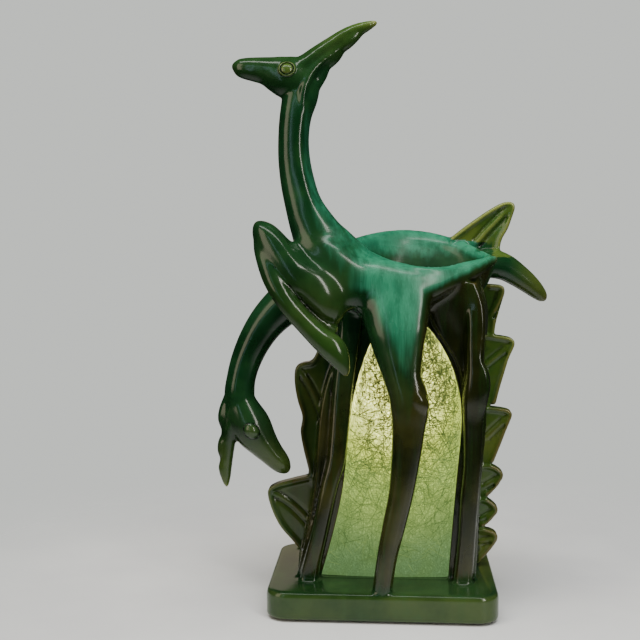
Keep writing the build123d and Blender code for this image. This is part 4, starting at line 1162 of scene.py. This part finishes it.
def plain_material(name, low, high, scale, rough, stretch, bump, more):
    """A material that varies softly between two colours, with its roughness and surface."""
    m = Nodes(name)
    grain = m.noise(m.position(stretch), scale, detail=4, rough=0.6)
    wear = m.noise(m.position(), 60)
    m.set(Base_Color=m.mix(m.ramp(grain, 0.3, 0.7), low, high))
    m.set(Roughness=m.plus(rough, m.ramp(wear, 0.35, 0.75, 0.14)), **more)
    if bump:
        m.bump(grain, 0.5, bump)
    return m.material


def bulb_material():
    """Frosted glass, lit from within: brightest where it is seen square on."""
    m = Nodes("frosted_bulb_glass")
    facing = m.tree.nodes.new("ShaderNodeLayerWeight")
    facing.inputs["Blend"].default_value = 0.35
    frost = m.noise(m.position(), 500, detail=2)
    colour = m.mix(facing.outputs["Facing"], (1.0, 0.86, 0.56), (0.95, 0.62, 0.30))
    colour = m.mix(m.times(frost, 0.25), colour, (1.0, 0.93, 0.75))
    m.set(Base_Color=(0.85, 0.82, 0.74, 1), Emission_Color=colour, Emission_Strength=3.2, Roughness=0.35)
    m.bump(frost, 0.2, 0.0001)
    return m.material


def dress(name, material):
    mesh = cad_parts[name].data
    mesh.materials.clear()
    mesh.materials.append(material)


paint_zones(pottery)
for piece, material in ((pottery, glaze()), (sheet, sheet_material()), (strands, strand_material())):
    piece.data.materials.clear()
    piece.data.materials.append(material)

EVEN = (1, 1, 1)
WORN = 0.00004  # the depth of the marks on worn metal, in metres
BRASS = {"Metallic": 1.0, "Anisotropic": 0.5}
STEEL = {"Metallic": 1.0}
# For each CAD node: its material's name, two colours, how fine the grain is, the roughness, how the grain is
# squeezed along X, Y and Z, the depth of its bump in metres, and further settings.
PLAIN = {
    "holder_cap": (
        "spun_brass_cap", (0.56, 0.36, 0.13), (0.72, 0.50, 0.21),
        300, 0.22, (1, 1, 14), WORN, BRASS,
    ),
    "holder_shell": (
        "spun_brass_shell", (0.58, 0.38, 0.14), (0.74, 0.52, 0.22),
        300, 0.20, (1, 1, 14), WORN, BRASS,
    ),
    "holder_neck": ("brass_neck", (0.50, 0.33, 0.12), (0.66, 0.46, 0.19), 300, 0.28, (1, 1, 10), WORN, BRASS),
    "threaded_pipe": (
        "pipe_brass", (0.45, 0.30, 0.12), (0.62, 0.43, 0.18),
        900, 0.34, (1, 1, 3), WORN, BRASS,
    ),
    "screw_shell": (
        "contact_shell_brass", (0.60, 0.42, 0.17), (0.74, 0.54, 0.26),
        500, 0.26, (1, 1, 8), WORN, BRASS,
    ),
    "centre_contact": (
        "contact_brass", (0.55, 0.37, 0.15), (0.72, 0.50, 0.24),
        500, 0.30, (6, 1, 1), WORN, BRASS,
    ),
    "terminal_screws": (
        "terminal_brass", (0.60, 0.45, 0.20), (0.76, 0.58, 0.30),
        700, 0.32, EVEN, WORN, BRASS,
    ),
    "switch_bushing": (
        "bushing_brass", (0.48, 0.32, 0.13), (0.66, 0.46, 0.20),
        700, 0.30, (1, 6, 1), WORN, BRASS,
    ),
    "pipe_washer": ("washer_steel", (0.36, 0.36, 0.35), (0.52, 0.52, 0.50), 260, 0.38, EVEN, WORN, STEEL),
    "locknuts": ("nut_steel", (0.34, 0.33, 0.31), (0.50, 0.49, 0.46), 320, 0.36, EVEN, WORN, STEEL),
    "set_screw": ("set_screw_steel", (0.40, 0.40, 0.39), (0.58, 0.58, 0.56), 800, 0.30, EVEN, WORN, STEEL),
    "switch_shaft": (
        "shaft_steel", (0.42, 0.42, 0.42), (0.60, 0.60, 0.59),
        800, 0.28, (1, 8, 1), WORN, STEEL,
    ),
    "bulb_cap": (
        "bulb_cap_aluminium", (0.62, 0.61, 0.58), (0.80, 0.79, 0.76),
        400, 0.24, (1, 1, 8), WORN, STEEL,
    ),
    "bulb_contact": ("contact_solder", (0.48, 0.48, 0.47), (0.66, 0.66, 0.64), 900, 0.34, EVEN, WORN, STEEL),
    "bulb_leads": ("lead_nickel", (0.44, 0.40, 0.35), (0.60, 0.56, 0.50), 900, 0.30, EVEN, WORN, STEEL),
    "felt_pads": (
        "green_felt", (0.010, 0.030, 0.014), (0.035, 0.080, 0.040),
        1500, 0.85, EVEN, 0.0005, {"Sheen_Weight": 0.4},
    ),
    "screen_lugs": (
        "lug_glaze", (0.006, 0.020, 0.006), (0.020, 0.040, 0.010),
        120, 0.12, EVEN, 0.0003, {"Coat_Weight": 0.5},
    ),
    "pipe_bushing": (
        "black_bushing", (0.010, 0.010, 0.010), (0.028, 0.027, 0.026),
        400, 0.40, EVEN, 0.0001, {},
    ),
    "holder_liner": ("fibre_card", (0.16, 0.12, 0.07), (0.34, 0.27, 0.17), 600, 0.75, (1, 1, 4), 0.0002, {}),
    "holder_block": (
        "brown_phenolic", (0.022, 0.010, 0.005), (0.060, 0.026, 0.012),
        180, 0.28, EVEN, 0.0001, {},
    ),
    "switch_knob": ("black_knob", (0.008, 0.007, 0.006), (0.024, 0.020, 0.018), 260, 0.22, EVEN, 0.0001, {}),
    "cord_grommet": (
        "black_rubber", (0.009, 0.009, 0.009), (0.026, 0.025, 0.024),
        500, 0.60, EVEN, 0.0002, {},
    ),
    "bulb_insulator": (
        "black_vitrite", (0.006, 0.006, 0.008), (0.020, 0.018, 0.022),
        300, 0.10, EVEN, 0.0001, {},
    ),
    "bulb_stem": (
        "stem_glass", (0.70, 0.74, 0.72), (0.82, 0.86, 0.84),
        300, 0.05, EVEN, 0.0, {"Transmission_Weight": 0.85},
    ),
    "bulb_filament": ("tungsten", (0.30, 0.20, 0.10), (0.60, 0.45, 0.25), 900, 0.40, EVEN, 0.0, STEEL),
}
for node, look in PLAIN.items():
    dress(node, plain_material(*look))
dress("bulb_glass", bulb_material())


# ================================ stage =================================================================


def camera():
    """The photo's viewpoint: in front, a little above the table, tilted down by the pitch."""
    yaw, pitch = -0.066, 0.085
    data = bpy.data.cameras.new("camera")
    data.lens, data.sensor_width = 61.9, 36.0
    obj = bpy.data.objects.new("camera", data)
    obj.location = (0.00578, -0.7388, 0.2527)
    obj.rotation_euler = (math.pi / 2 - pitch, 0, -yaw)
    bpy.context.scene.collection.objects.link(obj)
    bpy.context.scene.camera = obj


def area_light(name, location, target, size, power, colour=(1, 1, 1), mirrored=True):
    data = bpy.data.lights.new(name, "AREA")
    data.shape, data.size, data.size_y = "RECTANGLE", size[0], size[1]
    data.energy, data.color = power, colour
    obj = bpy.data.objects.new(name, data)
    obj.location = location
    direction = Vector(target) - Vector(location)
    obj.rotation_euler = direction.to_track_quat("-Z", "Y").to_euler()
    obj.visible_camera = False
    obj.visible_glossy = mirrored
    bpy.context.scene.collection.objects.link(obj)


def pale_floor(radius=3.2, sides=64):
    """A pale disc under the lamp that fades out into the backdrop."""
    turns = np.linspace(0, 2 * math.pi, sides, endpoint=False)
    ring = [(radius * math.cos(a), radius * math.sin(a), 0) for a in turns]
    faces = [(0, k + 1, (k + 1) % sides + 1) for k in range(sides)]
    floor = mesh_object("floor", [(0, 0, 0)] + ring, faces, scale=1.0)
    m = Nodes("pale_floor")
    tone = m.noise(m.position(), 7.0, detail=5)
    m.set(Base_Color=m.mix(m.ramp(tone, 0.3, 0.7), (0.56, 0.565, 0.57), (0.63, 0.635, 0.63)), Roughness=0.55)
    x, y, _ = m.axes(m.position())
    m.set(Alpha=m.ramp(m.hypot(x, y), 0.46, 0.15))
    floor.data.materials.append(m.material)


def studio():
    """A pale backdrop for the camera, and a room that is dim but for its softboxes."""
    world = bpy.data.worlds.new("studio")
    world.use_nodes = True
    tree = world.node_tree
    ambient = tree.nodes["Background"]
    ambient.inputs[0].default_value, ambient.inputs[1].default_value = (0.80, 0.82, 0.85, 1), 0.03
    backdrop = tree.nodes.new("ShaderNodeBackground")
    backdrop.inputs[0].default_value, backdrop.inputs[1].default_value = (0.74, 0.765, 0.73, 1), 1.0
    path = tree.nodes.new("ShaderNodeLightPath")
    either = tree.nodes.new("ShaderNodeMixShader")
    tree.links.new(path.outputs["Is Camera Ray"], either.inputs[0])
    tree.links.new(ambient.outputs[0], either.inputs[1])
    tree.links.new(backdrop.outputs[0], either.inputs[2])
    tree.links.new(either.outputs[0], tree.nodes["World Output"].inputs[0])
    bpy.context.scene.world = world
    middle = (0, 0, 0.2)
    area_light("left_window", (-1.10, -0.85, 0.65), middle, (0.70, 1.40), 10, (1.0, 0.85, 0.64))
    area_light("left_sky", (-0.62, -1.30, 0.55), middle, (0.07, 1.30), 1.0, (0.60, 0.80, 1.0))
    area_light("right_window", (0.85, -1.15, 0.80), middle, (0.20, 1.20), 13, (0.98, 0.94, 0.86))
    area_light("ceiling", (0.0, -0.40, 1.60), middle, (2.0, 1.4), 44, (1.0, 1.0, 0.98), mirrored=False)
    area_light("top_strip", (-0.1, -0.45, 1.50), middle, (1.5, 0.22), 9, (1.0, 1.0, 0.96))
    area_light("back_card", (-0.36, 1.3, 0.45), (-0.07, 0, 0.02), (0.55, 0.5), 0.45, (1.0, 0.84, 0.66))


camera()
pale_floor()
studio()
